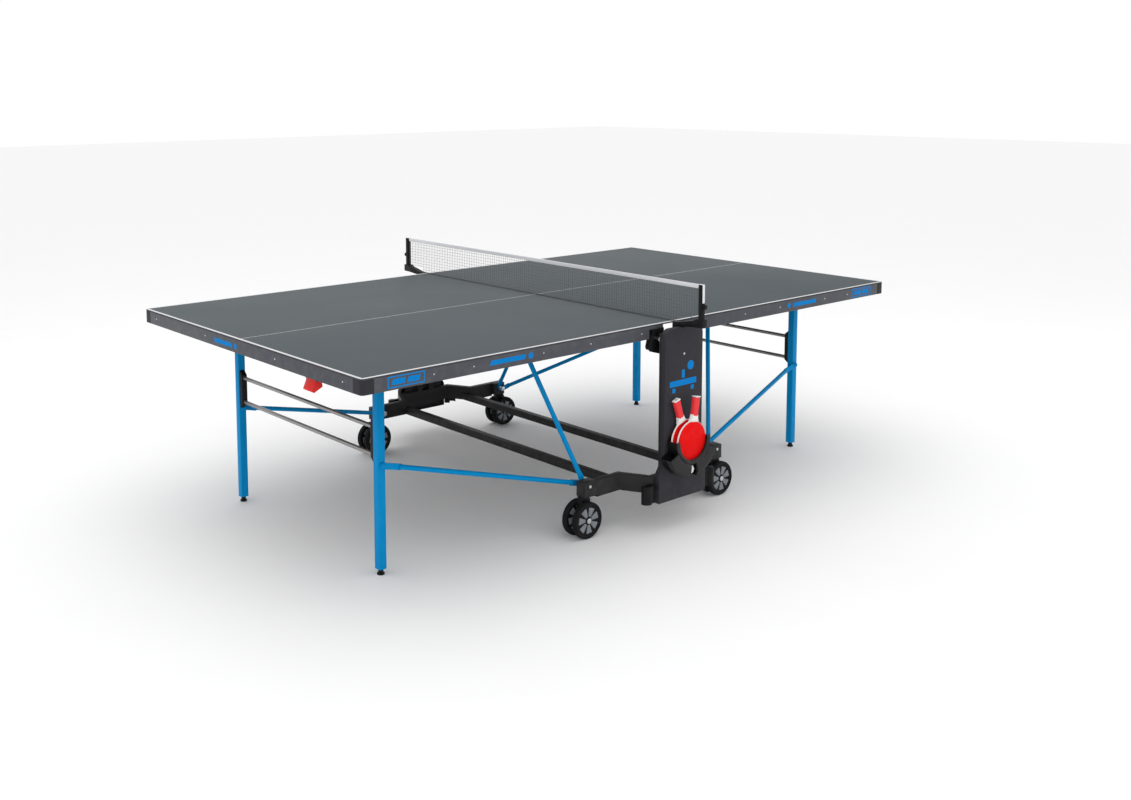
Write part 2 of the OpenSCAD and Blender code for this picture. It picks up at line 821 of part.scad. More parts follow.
// Tube with flattened ends from one pivot to another; the low end is bored for its pin,
// and the high end has its bolt head on the outer (1) or the inner (-1) face.
module stay(low, high, head_side, high_straight) {
  span = norm([high[0] - low[0], high[2] - low[2]]);
  lean = atan2(high[0] - low[0], high[2] - low[2]);
  shift = high[1] - low[1];
  tube_span = span - blade_straight - high_straight + 2 * blade_lap;
  slant = atan2(shift, tube_span);
  half_blade = blade_thickness / 2;
  head_reach = half_blade + bolt_head_height;
  r = blade_width / 2;
  translate(low) rotate([0, lean, 0]) difference() {
    union() {
      y_rod(0, 0, -half_blade, half_blade, r);
      box([-r, -half_blade, 0], [r, half_blade, blade_straight]);
      translate([0, 0, blade_straight - blade_lap]) rotate([-slant, 0, 0])
        cylinder(r = stay_diameter / 2, h = norm([tube_span, shift]));
      y_rod(0, span, shift - half_blade, shift + half_blade, r);
      box([-r, shift - half_blade, span - high_straight], [r, shift + half_blade, span]);
      y_rod(0, span, shift + min(0, head_side * head_reach),
        shift + max(0, head_side * head_reach), bolt_head_radius);
    }
    y_rod(0, 0, -10, 10, stay_pin / 2 + fit_clearance);
  }
}

module top_stays() {
  color(blue) both_sides() stay([stay_pivot_x, top_blade_low_y, stay_pivot_z],
    [top_stay_x, top_blade_high_y, top_stay_z], -1, blade_straight);
}

module left_top_stays() { on_half(-1) top_stays(); }
module right_top_stays() { on_half(1) top_stays(); }

module leg_stays() {
  color(blue) both_sides() stay([stay_pivot_x, leg_blade_low_y, stay_pivot_z],
    [leg_x, leg_blade_high_y, leg_stay_z], 1, long_blade);
}

module left_leg_stays() { on_half(-1) leg_stays(); }
module right_leg_stays() { on_half(1) leg_stays(); }

// ---- Castors ----

castor_nose = 16;
castor_crown = 22;
castor_rise = 4;
stem_length = 50;

// Swivelling body between the twin wheels, with its stem and axle.
module castor(side, face) {
  half_body = wheel_spacing / 2 - wheel_width / 2 - 1;
  crown_z = 2 * wheel_radius + castor_rise;
  color(black) on_quarter(side, face) translate([castor_x, castor_y, 0]) {
    y_plate(-half_body, half_body) union() {
      translate([castor_trail, wheel_radius]) circle(r = castor_nose);
      polygon([[castor_trail - castor_nose, wheel_radius], [castor_trail + castor_nose, wheel_radius],
        [castor_crown, crown_z], [-castor_crown, crown_z]]);
    }
    translate([0, 0, crown_z]) cylinder(r = castor_crown, h = castor_block_z - crown_z - 1);
    translate([0, 0, crown_z]) cylinder(r = stem_radius, h = stem_length);
    y_rod(castor_trail, wheel_radius, -wheel_spacing / 2 - wheel_width / 2 - 1,
      wheel_spacing / 2 + wheel_width / 2 + 1, axle_radius);
  }
}

module castor_left_near() { castor(-1, -1); }
module castor_left_far() { castor(-1, 1); }
module castor_right_near() { castor(1, -1); }
module castor_right_far() { castor(1, 1); }

tyre_depth = 11;

// Wheel turned about its own axis: soft tyre on a dished hub.
module wheel() {
  half = wheel_width / 2;
  rim = wheel_radius - tyre_depth;
  rotate([90, 0, 0]) {
    color(black) rotate_extrude($fn = 64) polygon([[rim, -half + 1], [wheel_radius - 4, -half],
      [wheel_radius, -half + 5], [wheel_radius, half - 5], [wheel_radius - 4, half], [rim, half - 1]]);
    color(steel) rotate_extrude($fn = 64) polygon([[axle_radius + fit_clearance, -half],
      [13, -half], [15, -4], [rim - 4, -4], [rim, -half + 3], [rim, half - 3], [rim - 4, 4],
      [15, 4], [13, half], [axle_radius + fit_clearance, half]]);
  }
}

module wheels(side, face) {
  on_quarter(side, face) for (s = [-1, 1])
    translate([castor_x + castor_trail, castor_y + s * wheel_spacing / 2, wheel_radius]) wheel();
}

module wheels_left_near() { wheels(-1, -1); }
module wheels_left_far() { wheels(-1, 1); }
module wheels_right_near() { wheels(1, -1); }
module wheels_right_far() { wheels(1, 1); }

// ---- Bats and ball ----

blade_half_thickness = 5;
grip_half_thickness = 10.5;

// Bat hanging blade down, turned about the blade's centre and resting low in the cradle.
module bat(x, z, y, lean) {
  r = blade_diameter / 2;
  translate([x, -y, holder_height + z]) rotate([0, lean, 0]) {
    y_plate(-blade_half_thickness, blade_half_thickness) union() {
      circle(r = r);
      polygon([[-30, r - 8], [30, r - 8], [13, r + 14], [-13, r + 14]]);
    }
    y_plate(-grip_half_thickness, grip_half_thickness)
      polygon([[-13, r + 6], [13, r + 6], [14, r + 90], [-14, r + 90]]);
  }
}

bat_back_y = holder_back_y + holder_wall + grip_half_thickness + 1;
bat_front_y = bat_back_y + 2 * grip_half_thickness + 1;

module bat_back() { color(red) bat(-5, -5.5, bat_back_y, -19); }
module bat_front() { color(red) bat(1, -7.5, bat_front_y, 9); }

// Ball at the bottom of the near tray.
module ball() {
  r = ball_diameter / 2;
  color("white") translate([0, -(holder_back_y + holder_depth - 3 - r - 1),
    holder_height - tray_r + holder_wall + r + 0.3]) sphere(r = r);
}

side_bar_near();
side_bar_far();
cross_beams();
upright_near();
upright_far();
side_panel_near();
side_panel_far();
panel_flaps();
holder_near();
holder_far();
net_posts();
net();
net_tape();
castor_brackets();
stay_pivot_pins();
net_knob_near();
net_knob_far();
left_board();
left_end_apron();
left_side_aprons();
left_corner_caps();
left_under_frame();
left_guide_brackets();
right_board();
right_end_apron();
right_side_aprons();
right_corner_caps();
right_under_frame();
right_guide_brackets();
left_release_handle();
left_lock_rod();
right_release_handle();
right_lock_rod();
left_guide_pins();
right_guide_pins();
left_legs();
left_leg_rods();
left_leg_brackets();
right_legs();
right_leg_rods();
right_leg_brackets();
foot_left_near();
foot_left_far();
foot_right_near();
foot_right_far();
left_top_stays();
right_top_stays();
left_leg_stays();
right_leg_stays();
castor_left_near();
castor_left_far();
castor_right_near();
castor_right_far();
wheels_left_near();
wheels_left_far();
wheels_right_near();
wheels_right_far();
bat_back();
bat_front();
ball();
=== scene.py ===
# %% [markdown]
# # A folding ping pong table
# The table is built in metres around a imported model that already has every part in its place.
# X runs along the table, Y across it and Z up, with the origin on the floor under the net.
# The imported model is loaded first, so that every new piece can take its place from it.

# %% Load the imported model
import json
import math

import bmesh
import bpy
from mathutils import Matrix, Vector


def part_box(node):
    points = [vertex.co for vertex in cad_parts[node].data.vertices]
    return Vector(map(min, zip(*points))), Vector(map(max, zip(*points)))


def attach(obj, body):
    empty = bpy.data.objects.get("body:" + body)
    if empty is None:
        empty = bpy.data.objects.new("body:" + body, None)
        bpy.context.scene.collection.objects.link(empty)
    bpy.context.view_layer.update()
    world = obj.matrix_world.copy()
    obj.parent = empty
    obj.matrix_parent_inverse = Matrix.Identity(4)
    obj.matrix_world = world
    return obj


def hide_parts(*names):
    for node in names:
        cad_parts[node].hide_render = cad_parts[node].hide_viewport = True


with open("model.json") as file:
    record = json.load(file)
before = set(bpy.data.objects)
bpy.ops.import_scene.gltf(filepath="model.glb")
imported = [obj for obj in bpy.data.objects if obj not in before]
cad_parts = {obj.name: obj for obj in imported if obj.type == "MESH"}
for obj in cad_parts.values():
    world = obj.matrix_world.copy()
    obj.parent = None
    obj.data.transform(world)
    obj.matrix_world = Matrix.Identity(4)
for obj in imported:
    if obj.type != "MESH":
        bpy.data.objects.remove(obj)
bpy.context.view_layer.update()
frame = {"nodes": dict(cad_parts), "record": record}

nodes = frame["nodes"]
scene = bpy.context.scene

# %% [markdown]
# The camera stands low in front of the near left corner and looks along the table.
# A small shift of the sensor frames the table without tilting the upright lines further.

# %% Set up the camera
FRAME_WIDTH, FOCAL_LENGTH = 1131, 1217.9
camera_data = bpy.data.cameras.new("camera")
camera = bpy.data.objects.new("camera", camera_data)
scene.collection.objects.link(camera)
camera_data.sensor_width = 36
camera_data.lens = FOCAL_LENGTH / FRAME_WIDTH * camera_data.sensor_width
camera_data.shift_x = 0.0627
camera_data.shift_y = -0.1592
camera.matrix_world = (Matrix.Translation((-3.3294, -3.7399, 1.6286))
                       @ Matrix.Rotation(math.radians(-39.762), 4, "Z")
                       @ Matrix.Rotation(math.radians(90 - 6.348), 4, "X")
                       @ Matrix.Rotation(math.radians(-0.253), 4, "Z"))
scene.camera = camera
print("lens", round(camera_data.lens, 2), "mm")

# %% [markdown]
# A product studio is mostly large soft light. The sky gives an even white from all sides, a wide
# lamp overhead puts a soft shade under the top, and a lamp in front keeps the aprons readable.
# The floor is a plain pale sheet, so that nothing competes with the table.

# %% Light the studio
scene.view_settings.view_transform = "Standard"
world = bpy.data.worlds.new("white studio")
world.use_nodes = True
world.node_tree.nodes["Background"].inputs["Color"].default_value = (1, 1, 1, 1)
world.node_tree.nodes["Background"].inputs["Strength"].default_value = 1.0
scene.world = world


def soft_lamp(name, place, aim, size, power):
    """A square lamp that faces a point."""
    lamp_data = bpy.data.lights.new(name, "AREA")
    lamp_data.size = size
    lamp_data.energy = power
    lamp = bpy.data.objects.new(name, lamp_data)
    scene.collection.objects.link(lamp)
    lamp.location = place
    lamp.rotation_euler = (Vector(aim) - Vector(place)).to_track_quat("-Z", "Y").to_euler()


soft_lamp("overhead lamp", (-0.6, 0.4, 4.2), (0, 0, 0.6), 4.5, 40)
soft_lamp("front lamp", (-4.2, -4.6, 2.6), (0, 0, 0.5), 2.6, 14)
soft_lamp("side lamp", (4.6, -2.4, 2.2), (0, 0, 0.5), 2.4, 8)

# %% [markdown]
# New pieces are shaped with the same operators as by hand. Each operator works on whatever is
# selected, so everything is let go before a piece is started or taken up again.

# %% Helpers that start a piece
def let_go():
    """Leave edit mode and deselect everything."""
    if bpy.context.object and bpy.context.object.mode != "OBJECT":
        bpy.ops.object.mode_set(mode="OBJECT")
    bpy.ops.object.select_all(action="DESELECT")


def hold(piece):
    """Select one piece alone and make it active."""
    let_go()
    piece.select_set(True)
    bpy.context.view_layer.objects.active = piece


def settle(piece):
    """Put the piece's place into its mesh."""
    hold(piece)
    bpy.ops.object.transform_apply(location=True, rotation=True, scale=True)
    return piece


def started(name):
    piece = bpy.context.object
    piece.name = name
    return piece


TURNS = {"X": (0, math.pi / 2, 0), "Y": (-math.pi / 2, 0, 0), "Z": (0, 0, 0)}


def rod(name, middle, radius, length, axis="Y", sides=32):
    """A round bar about its middle, along one axis."""
    let_go()
    bpy.ops.mesh.primitive_cylinder_add(vertices=sides, radius=radius, depth=length,
                                        location=middle, rotation=TURNS[axis])
    return settle(started(name))


def plate(name, outline, axis, low, high):
    """A flat disc whose corners are moved to an outline, then pulled from low to high."""
    let_go()
    bpy.ops.mesh.primitive_circle_add(vertices=len(outline), radius=1, fill_type="NGON")
    piece = started(name)
    place = {"X": lambda a, b: (low, a, b), "Y": lambda a, b: (a, low, b),
             "Z": lambda a, b: (a, b, low)}[axis]
    for corner, (a, b) in zip(piece.data.vertices, outline):
        corner.co = place(a, b)
    push = [0, 0, 0]
    push["XYZ".index(axis)] = high - low
    bpy.ops.object.mode_set(mode="EDIT")
    bpy.ops.mesh.select_all(action="SELECT")
    bpy.ops.mesh.extrude_region_move(TRANSFORM_OT_translate={"value": push})
    close_up()
    return piece


def close_up():
    """In edit mode: join doubles, fill open ends and turn every face outwards."""
    bpy.ops.mesh.select_all(action="SELECT")
    bpy.ops.mesh.remove_doubles(threshold=0.00001)
    bpy.ops.mesh.select_all(action="DESELECT")
    bpy.ops.mesh.select_mode(type="EDGE")
    bpy.ops.mesh.select_non_manifold(extend=False, use_wire=False, use_multi_face=False,
                                     use_non_contiguous=False, use_verts=False)
    bpy.ops.mesh.fill_holes(sides=0)
    bpy.ops.mesh.select_all(action="SELECT")
    bpy.ops.mesh.normals_make_consistent(inside=False)
    bpy.ops.object.mode_set(mode="OBJECT")


def turned(name, profile, middle, axis="Y", sides=48):
    """A ring pulled and resized along a profile of (radius, distance along the axis)."""
    let_go()
    (radius, along), *rest = profile
    bpy.ops.mesh.primitive_circle_add(vertices=sides, radius=radius, location=(0, 0, along))
    piece = settle(started(name))
    bpy.ops.object.mode_set(mode="EDIT")
    bpy.ops.mesh.select_all(action="SELECT")
    for next_radius, next_along in rest:
        bpy.ops.mesh.extrude_region_move(
            TRANSFORM_OT_translate={"value": (0, 0, next_along - along)})
        grow = next_radius / radius
        bpy.ops.transform.resize(value=(grow, grow, 1), center_override=(0, 0, next_along))
        radius, along = next_radius, next_along
    close_up()
    piece.rotation_euler = TURNS[axis]
    piece.location = middle
    return settle(piece)


def swept(name, section, middle, start, sweep, steps):
    """A section of (radius, y) corners, spun about an axis along Y; angles from +X upwards."""
    let_go()
    bpy.ops.mesh.primitive_circle_add(vertices=len(section), radius=1, fill_type="NGON")
    piece = started(name)
    for corner, (radius, y) in zip(piece.data.vertices, section):
        corner.co = (radius * math.cos(start), y, radius * math.sin(start))
    bpy.ops.object.mode_set(mode="EDIT")
    bpy.ops.mesh.select_all(action="SELECT")
    bpy.ops.mesh.spin(steps=steps, angle=sweep, center=(0, 0, 0), axis=(0, 1, 0))
    close_up()
    piece.location = middle
    return settle(piece)

# %% [markdown]
# A finished piece has rounded edges, because no real edge is perfectly sharp and a small round
# catches a line of light. Copies each get their own mesh, and pieces of one finish on one body
# are joined, so that a set of screws is one piece.

# %% Helpers that finish a piece
def modify(piece, kind, **settings):
    """Add one modifier and apply it."""
    hold(piece)
    modifier = piece.modifiers.new(kind.lower(), kind)
    for name, value in settings.items():
        setattr(modifier, name, value)
    bpy.ops.object.modifier_apply(modifier=modifier.name)
    return piece


def smooth(piece, degrees=35):
    hold(piece)
    bpy.ops.object.shade_smooth_by_angle(angle=math.radians(degrees))
    return piece


def soften(piece, width, segments=2, degrees=30):
    """Round the hard edges of a piece."""
    modify(piece, "BEVEL", width=width, segments=segments, limit_method="ANGLE",
           angle_limit=math.radians(degrees), use_clamp_overlap=True, harden_normals=False)
    return smooth(piece)


def copied(piece, move=(0, 0, 0), turn=None, flip=(1, 1, 1)):
    """A moved, turned or mirrored copy with its own mesh."""
    hold(piece)
    bpy.ops.object.duplicate()
    twin = bpy.context.object
    twin.matrix_world = (Matrix.Translation(move) @ (turn or Matrix.Identity(4))
                         @ Matrix.Diagonal((*flip, 1)))
    settle(twin)
    if flip[0] * flip[1] * flip[2] < 0:
        bpy.ops.object.mode_set(mode="EDIT")
        bpy.ops.mesh.select_all(action="SELECT")
        bpy.ops.mesh.normals_make_consistent(inside=False)
        bpy.ops.object.mode_set(mode="OBJECT")
    return twin


def joined(name, pieces):
    """Several pieces as one."""
    hold(pieces[0])
    for piece in pieces:
        piece.select_set(True)
    if len(pieces) > 1:
        bpy.ops.object.join()
    return started(name)


def discard(piece):
    bpy.data.objects.remove(piece)


def finish(piece, material, body, replaces=()):
    """Give a piece its finish and its body, and hide the parts it replaces."""
    piece.data.materials.clear()
    piece.data.materials.append(material)
    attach(piece, body)
    if replaces:
        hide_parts(*replaces)
    return piece


BODY_OF = {node: body for body, members in frame["record"]["behaviour"]["bodies"].items()
           for node in members}

# %% [markdown]
# Powder coat, moulded plastic and rubber all share one look: a colour that drifts a little, a
# fine grain that breaks up the shine, and a roughness that follows the drift. One shader group
# does this, and each material sets its own sizes on it.

# %% Build the group for coated and moulded skins
def new_group(name, inputs, outputs):
    """A shader group with named sockets, and its input and output nodes."""
    group = bpy.data.node_groups.new(name, "ShaderNodeTree")
    for label, kind, value in inputs:
        socket = group.interface.new_socket(label, in_out="INPUT", socket_type="NodeSocket" + kind)
        if value is not None:
            socket.default_value = value
    for label, kind in outputs:
        group.interface.new_socket(label, in_out="OUTPUT", socket_type="NodeSocket" + kind)
    return group, group.nodes.new("NodeGroupInput"), group.nodes.new("NodeGroupOutput")


def add(tree, kind, **settings):
    node = tree.nodes.new("ShaderNode" + kind)
    for name, value in settings.items():
        setattr(node, name, value)
    return node


def wire(tree, value, socket):
    """Link an output to a socket, or set the socket to a number."""
    if isinstance(value, bpy.types.NodeSocket):
        tree.links.new(value, socket)
    else:
        socket.default_value = value


def calc(tree, operation, first, second=0.0):
    """A Math node; returns its output."""
    node = add(tree, "Math", operation=operation)
    wire(tree, first, node.inputs[0])
    wire(tree, second, node.inputs[1])
    return node.outputs[0]


def blended(tree, factor, first, second, blend_type="MIX"):
    """A colour Mix node; returns its output."""
    node = add(tree, "Mix", data_type="RGBA", blend_type=blend_type)
    wire(tree, factor, node.inputs["Factor"])
    wire(tree, first, node.inputs[6])
    wire(tree, second, node.inputs[7])
    return node.outputs[2]


def noise(tree, vector, scale, detail=2.0):
    node = add(tree, "TexNoise")
    wire(tree, vector, node.inputs["Vector"])
    wire(tree, scale, node.inputs["Scale"])
    node.inputs["Detail"].default_value = detail
    return node.outputs["Fac"]


skin, given, made = new_group(
    "Coated Skin",
    [("Vector", "Vector", None), ("Colour", "Color", (0.5, 0.5, 0.5, 1)),
     ("Drift Scale", "Float", 4.0), ("Drift", "Float", 0.1), ("Grain Scale", "Float", 900.0),
     ("Grain Depth", "Float", 0.0002), ("Roughness", "Float", 0.5),
     ("Roughness Drift", "Float", 0.1)],
    [("Colour", "Color"), ("Roughness", "Float"), ("Normal", "Vector")])
drift = calc(skin, "SUBTRACT", noise(skin, given.outputs["Vector"], given.outputs["Drift Scale"],
                                     4.0), 0.5)
brightness = calc(skin, "ADD", calc(skin, "MULTIPLY", drift, given.outputs["Drift"]), 1.0)
scaled = add(skin, "VectorMath", operation="SCALE")
skin.links.new(given.outputs["Colour"], scaled.inputs[0])
skin.links.new(brightness, scaled.inputs["Scale"])
skin.links.new(scaled.outputs[0], made.inputs["Colour"])
rough = calc(skin, "ADD", given.outputs["Roughness"],
             calc(skin, "MULTIPLY", drift, given.outputs["Roughness Drift"]))
skin.links.new(rough, made.inputs["Roughness"])
bump = add(skin, "Bump")
skin.links.new(noise(skin, given.outputs["Vector"], given.outputs["Grain Scale"]),
               bump.inputs["Height"])
skin.links.new(given.outputs["Grain Depth"], bump.inputs["Distance"])
skin.links.new(bump.outputs["Normal"], made.inputs["Normal"])
print("group", skin.name, len(skin.nodes), "nodes")

# %% [markdown]
# Paint and plastic rub through to a paler tone along the edges that hands and shoes meet. The
# mesh's own pointedness finds these edges, and a noise breaks the line up.

# %% Build the group for rubbed edges
rub, given, made = new_group(
    "Rubbed Edge", [("Vector", "Vector", None), ("Amount", "Float", 0.5)], [("Mask", "Float")])
geometry = add(rub, "NewGeometry")
sharp = add(rub, "MapRange")
rub.links.new(geometry.outputs["Pointiness"], sharp.inputs["Value"])
sharp.inputs["From Min"].default_value = 0.52
sharp.inputs["From Max"].default_value = 0.62
patchy = add(rub, "MapRange")
rub.links.new(noise(rub, given.outputs["Vector"], 35.0, 4.0), patchy.inputs["Value"])
patchy.inputs["From Min"].default_value = 0.42
patchy.inputs["From Max"].default_value = 0.68
rub.links.new(calc(rub, "MULTIPLY", calc(rub, "MULTIPLY", sharp.outputs[0], patchy.outputs[0]),
                   given.outputs["Amount"]), made.inputs["Mask"])
print("group", rub.name, len(rub.nodes), "nodes")

# %% [markdown]
# Every material puts its own Principled shader at the end. This helper lays the shared groups in
# front of it and returns the tree, so that a material that shows more, such as the lines of the
# court, can go on from there.

# %% Make the coated materials
def coated(name, colour, roughness=0.5, drift=0.12, drift_scale=4.0, grain_scale=900.0,
           grain_depth=0.0002, edge=0.35, edge_colour=(0.5, 0.5, 0.5, 1), metallic=0.0,
           coat=0.0, specular=0.12):
    material = bpy.data.materials.new(name)
    material.use_nodes = True
    tree = material.node_tree
    shader = tree.nodes["Principled BSDF"]
    place = add(tree, "TexCoord").outputs["Object"]
    layer = add(tree, "Group", node_tree=skin)
    layer.name = "skin"
    for label, value in (("Colour", (*colour, 1)), ("Drift Scale", drift_scale),
                         ("Drift", drift), ("Grain Scale", grain_scale),
                         ("Grain Depth", grain_depth), ("Roughness", roughness),
                         ("Roughness Drift", 0.25)):
        layer.inputs[label].default_value = value
    tree.links.new(place, layer.inputs["Vector"])
    edges = add(tree, "Group", node_tree=rub)
    edges.inputs["Amount"].default_value = edge
    tree.links.new(place, edges.inputs["Vector"])
    tree.links.new(blended(tree, edges.outputs["Mask"], layer.outputs["Colour"], edge_colour),
                   shader.inputs["Base Color"])
    tree.links.new(layer.outputs["Roughness"], shader.inputs["Roughness"])
    tree.links.new(layer.outputs["Normal"], shader.inputs["Normal"])
    shader.inputs["Metallic"].default_value = metallic
    shader.inputs["Coat Weight"].default_value = coat
    shader.inputs["Specular IOR Level"].default_value = specular
    shader.inputs["Coat Roughness"].default_value = 0.2
    material.diffuse_color = (*colour, 1)
    return material


apron_paint = coated("apron paint", (0.074, 0.077, 0.09), roughness=0.42, drift=0.06,
                     grain_depth=0.00012, edge=0.3, edge_colour=(0.2, 0.2, 0.2, 1))
blue_paint = coated("blue paint", (0.0003, 0.245, 0.56), roughness=0.34, drift=0.08,
                    grain_depth=0.0001, specular=0.05, edge=0.25,
                    edge_colour=(0.05, 0.36, 0.66, 1))
chassis_paint = coated("chassis paint", (0.026, 0.0255, 0.026), roughness=0.45,
                       grain_depth=0.0002, edge_colour=(0.09, 0.09, 0.09, 1))
panel_plastic = coated("panel plastic", (0.031, 0.03, 0.036), roughness=0.55,
                       grain_scale=1400.0, grain_depth=0.0003, edge_colour=(0.1, 0.1, 0.1, 1))
black_plastic = coated("black plastic", (0.007, 0.007, 0.008), roughness=0.45,
                       grain_scale=1200.0, grain_depth=0.0003, edge_colour=(0.06, 0.06, 0.06, 1))
cap_plastic = coated("cap plastic", (0.03, 0.03, 0.035), roughness=0.5,
                     grain_scale=1300.0, grain_depth=0.0003, edge=0.0)
tray_plastic = coated("tray plastic", (0.032, 0.031, 0.032), roughness=0.6, drift=0.5,
                      drift_scale=300.0, grain_scale=700.0, grain_depth=0.0008,
                      edge_colour=(0.15, 0.15, 0.15, 1))
bat_red = coated("bat rubber", (0.8, 0.006, 0.006), roughness=0.55, drift=0.06,
                 grain_scale=1500.0, grain_depth=0.0002, edge=0.1, specular=0.04)
grip_red = coated("bat grip", (0.82, 0.045, 0.052), roughness=0.45, drift=0.1,
                  grain_scale=500.0, grain_depth=0.0005, edge=0.2, edge_colour=(0.9, 0.2, 0.2, 1))
bat_white = coated("bat core", (0.86, 0.85, 0.83), roughness=0.35, drift=0.04, edge=0.1,
                   edge_colour=(0.7, 0.7, 0.68, 1))
lever_red = coated("release lever", (0.72, 0.015, 0.012), roughness=0.3, drift=0.1, coat=0.1,
                   edge_colour=(0.95, 0.25, 0.2, 1))
decal_blue = coated("decal film", (0.003, 0.2, 0.56), roughness=0.5, drift=0.06, edge=0.0,
                    specular=0.04)
ball_white = coated("ball shell", (0.88, 0.88, 0.86), roughness=0.4, drift=0.04,
                    grain_scale=2500.0, grain_depth=0.0001, edge=0.0)
tyre_rubber = coated("tyre rubber", (0.008, 0.008, 0.009), roughness=0.7, drift=0.35,
                     drift_scale=40.0, grain_scale=1600.0, grain_depth=0.0005,
                     edge_colour=(0.05, 0.05, 0.05, 1))
hub_dark = coated("hub plastic", (0.009, 0.009, 0.0105), roughness=0.5, edge=0.2,
                  edge_colour=(0.08, 0.08, 0.08, 1))
spoke_grey = coated("spoke plastic", (0.2, 0.215, 0.235), roughness=0.38, drift=0.1, edge=0.3,
                    edge_colour=(0.6, 0.6, 0.62, 1))
print("coated materials", len(bpy.data.materials))

# %% [markdown]
# Bare steel is drawn or turned, so its shine is broken by fine streaks. A noise squeezed along
# one direction gives them, and they drive the roughness as much as the colour.

# %% Make the steel materials
streaks, given, made = new_group(
    "Drawn Streaks", [("Vector", "Vector", None), ("Stretch", "Vector", (1, 1, 1))],
    [("Tone", "Float"), ("Normal", "Vector")])
squeezed = add(streaks, "VectorMath", operation="MULTIPLY")
streaks.links.new(given.outputs["Vector"], squeezed.inputs[0])
streaks.links.new(given.outputs["Stretch"], squeezed.inputs[1])
tone = noise(streaks, squeezed.outputs[0], 1.0, 6.0)
streaks.links.new(tone, made.inputs["Tone"])
bump = add(streaks, "Bump")
bump.inputs["Distance"].default_value = 0.0001
streaks.links.new(tone, bump.inputs["Height"])
streaks.links.new(bump.outputs["Normal"], made.inputs["Normal"])


def drawn_metal(name, dark, light, stretch, rough_low, rough_high, metallic):
    material = bpy.data.materials.new(name)
    material.use_nodes = True
    tree = material.node_tree
    shader = tree.nodes["Principled BSDF"]
    layer = add(tree, "Group", node_tree=streaks)
    layer.inputs["Stretch"].default_value = stretch
    tree.links.new(add(tree, "TexCoord").outputs["Object"], layer.inputs["Vector"])
    tree.links.new(blended(tree, layer.outputs["Tone"], (*dark, 1), (*light, 1)),
                   shader.inputs["Base Color"])
    span = add(tree, "MapRange")
    span.inputs["To Min"].default_value = rough_low
    span.inputs["To Max"].default_value = rough_high
    tree.links.new(layer.outputs["Tone"], span.inputs["Value"])
    tree.links.new(span.outputs[0], shader.inputs["Roughness"])
    tree.links.new(layer.outputs["Normal"], shader.inputs["Normal"])
    shader.inputs["Metallic"].default_value = metallic
    return material


rod_steel = drawn_metal("rod steel", (0.2, 0.195, 0.19), (0.42, 0.41, 0.4), (300, 6, 300),
                        0.25, 0.45, 0.8)
bright_steel = drawn_metal("zinc plate", (0.5, 0.5, 0.52), (0.78, 0.78, 0.8), (90, 90, 90),
                           0.2, 0.42, 1.0)
print("steel materials", rod_steel.name, bright_steel.name)

# %% [markdown]
# The playing surface is a satin grey skin with white lines printed on it: a narrow border on
# every outer edge and a 3 mm line along the middle. The lines are a mask on the board's own
# coordinates, so they stay on the board when it folds.

# %% Make the playing surface
TOP_LENGTH, TOP_WIDTH, TOP_HEIGHT = 2.74, 1.525, 0.76
BORDER, CENTRE_LINE = 0.0105, 0.003
court, given, made = new_group("Court Lines", [("Vector", "Vector", None)],
                               [("Mask", "Float"), ("Edge", "Float")])
split = add(court, "SeparateXYZ")
court.links.new(given.outputs["Vector"], split.inputs[0])
along = calc(court, "ABSOLUTE", split.outputs["X"])
across = calc(court, "ABSOLUTE", split.outputs["Y"])
end_line = calc(court, "GREATER_THAN", along, TOP_LENGTH / 2 - BORDER)
side_line = calc(court, "GREATER_THAN", across, TOP_WIDTH / 2 - BORDER)
centre_line = calc(court, "LESS_THAN", across, CENTRE_LINE / 2)
on_top = calc(court, "GREATER_THAN", split.outputs["Z"], TOP_HEIGHT - 0.0006)
printed = calc(court, "MAXIMUM", calc(court, "MAXIMUM", end_line, side_line), centre_line)
court.links.new(calc(court, "MULTIPLY", printed, on_top), made.inputs["Mask"])
court.links.new(calc(court, "SUBTRACT", 1.0, on_top), made.inputs["Edge"])

board_top = coated("playing surface", (0.079, 0.093, 0.101), roughness=0.6, drift=0.07,
                   drift_scale=2.0, grain_scale=1500.0, grain_depth=0.00015, edge=0.0,
                   specular=0.08)
tree = board_top.node_tree
lines = add(tree, "Group", node_tree=court)
tree.links.new(add(tree, "TexCoord").outputs["Object"], lines.inputs["Vector"])
shader = tree.nodes["Principled BSDF"]
print_white = blended(tree, noise(tree, add(tree, "TexCoord").outputs["Object"], 60.0),
                      (0.58, 0.58, 0.6, 1), (0.7, 0.7, 0.72, 1))
edged = blended(tree, lines.outputs["Edge"], tree.nodes["skin"].outputs["Colour"],
                (0.06, 0.058, 0.064, 1))
tree.links.new(blended(tree, lines.outputs["Mask"], edged, print_white),
               shader.inputs["Base Color"])
print("court lines", BORDER, CENTRE_LINE)

# %% [markdown]
# The net's tape is a woven band and its strings are twisted cord. Two crossed waves make the
# weave, and they drive the colour, the roughness and the bump together.

# %% Make the cloth and cord materials
weave, given, made = new_group(
    "Plain Weave", [("Vector", "Vector", None), ("Threads", "Float", 900.0)],
    [("Thread", "Float"), ("Normal", "Vector")])
waves = []
for direction in ("X", "Y", "Z"):
    wave = add(weave, "TexWave", wave_type="BANDS", bands_direction=direction)
    weave.links.new(given.outputs["Vector"], wave.inputs["Vector"])
    weave.links.new(given.outputs["Threads"], wave.inputs["Scale"])
    waves.append(wave.outputs["Fac"])
thread = calc(weave, "MULTIPLY", calc(weave, "ADD", waves[0], waves[2]), waves[1])
weave.links.new(thread, made.inputs["Thread"])
bump = add(weave, "Bump")
bump.inputs["Distance"].default_value = 0.0002
weave.links.new(thread, bump.inputs["Height"])
weave.links.new(bump.outputs["Normal"], made.inputs["Normal"])


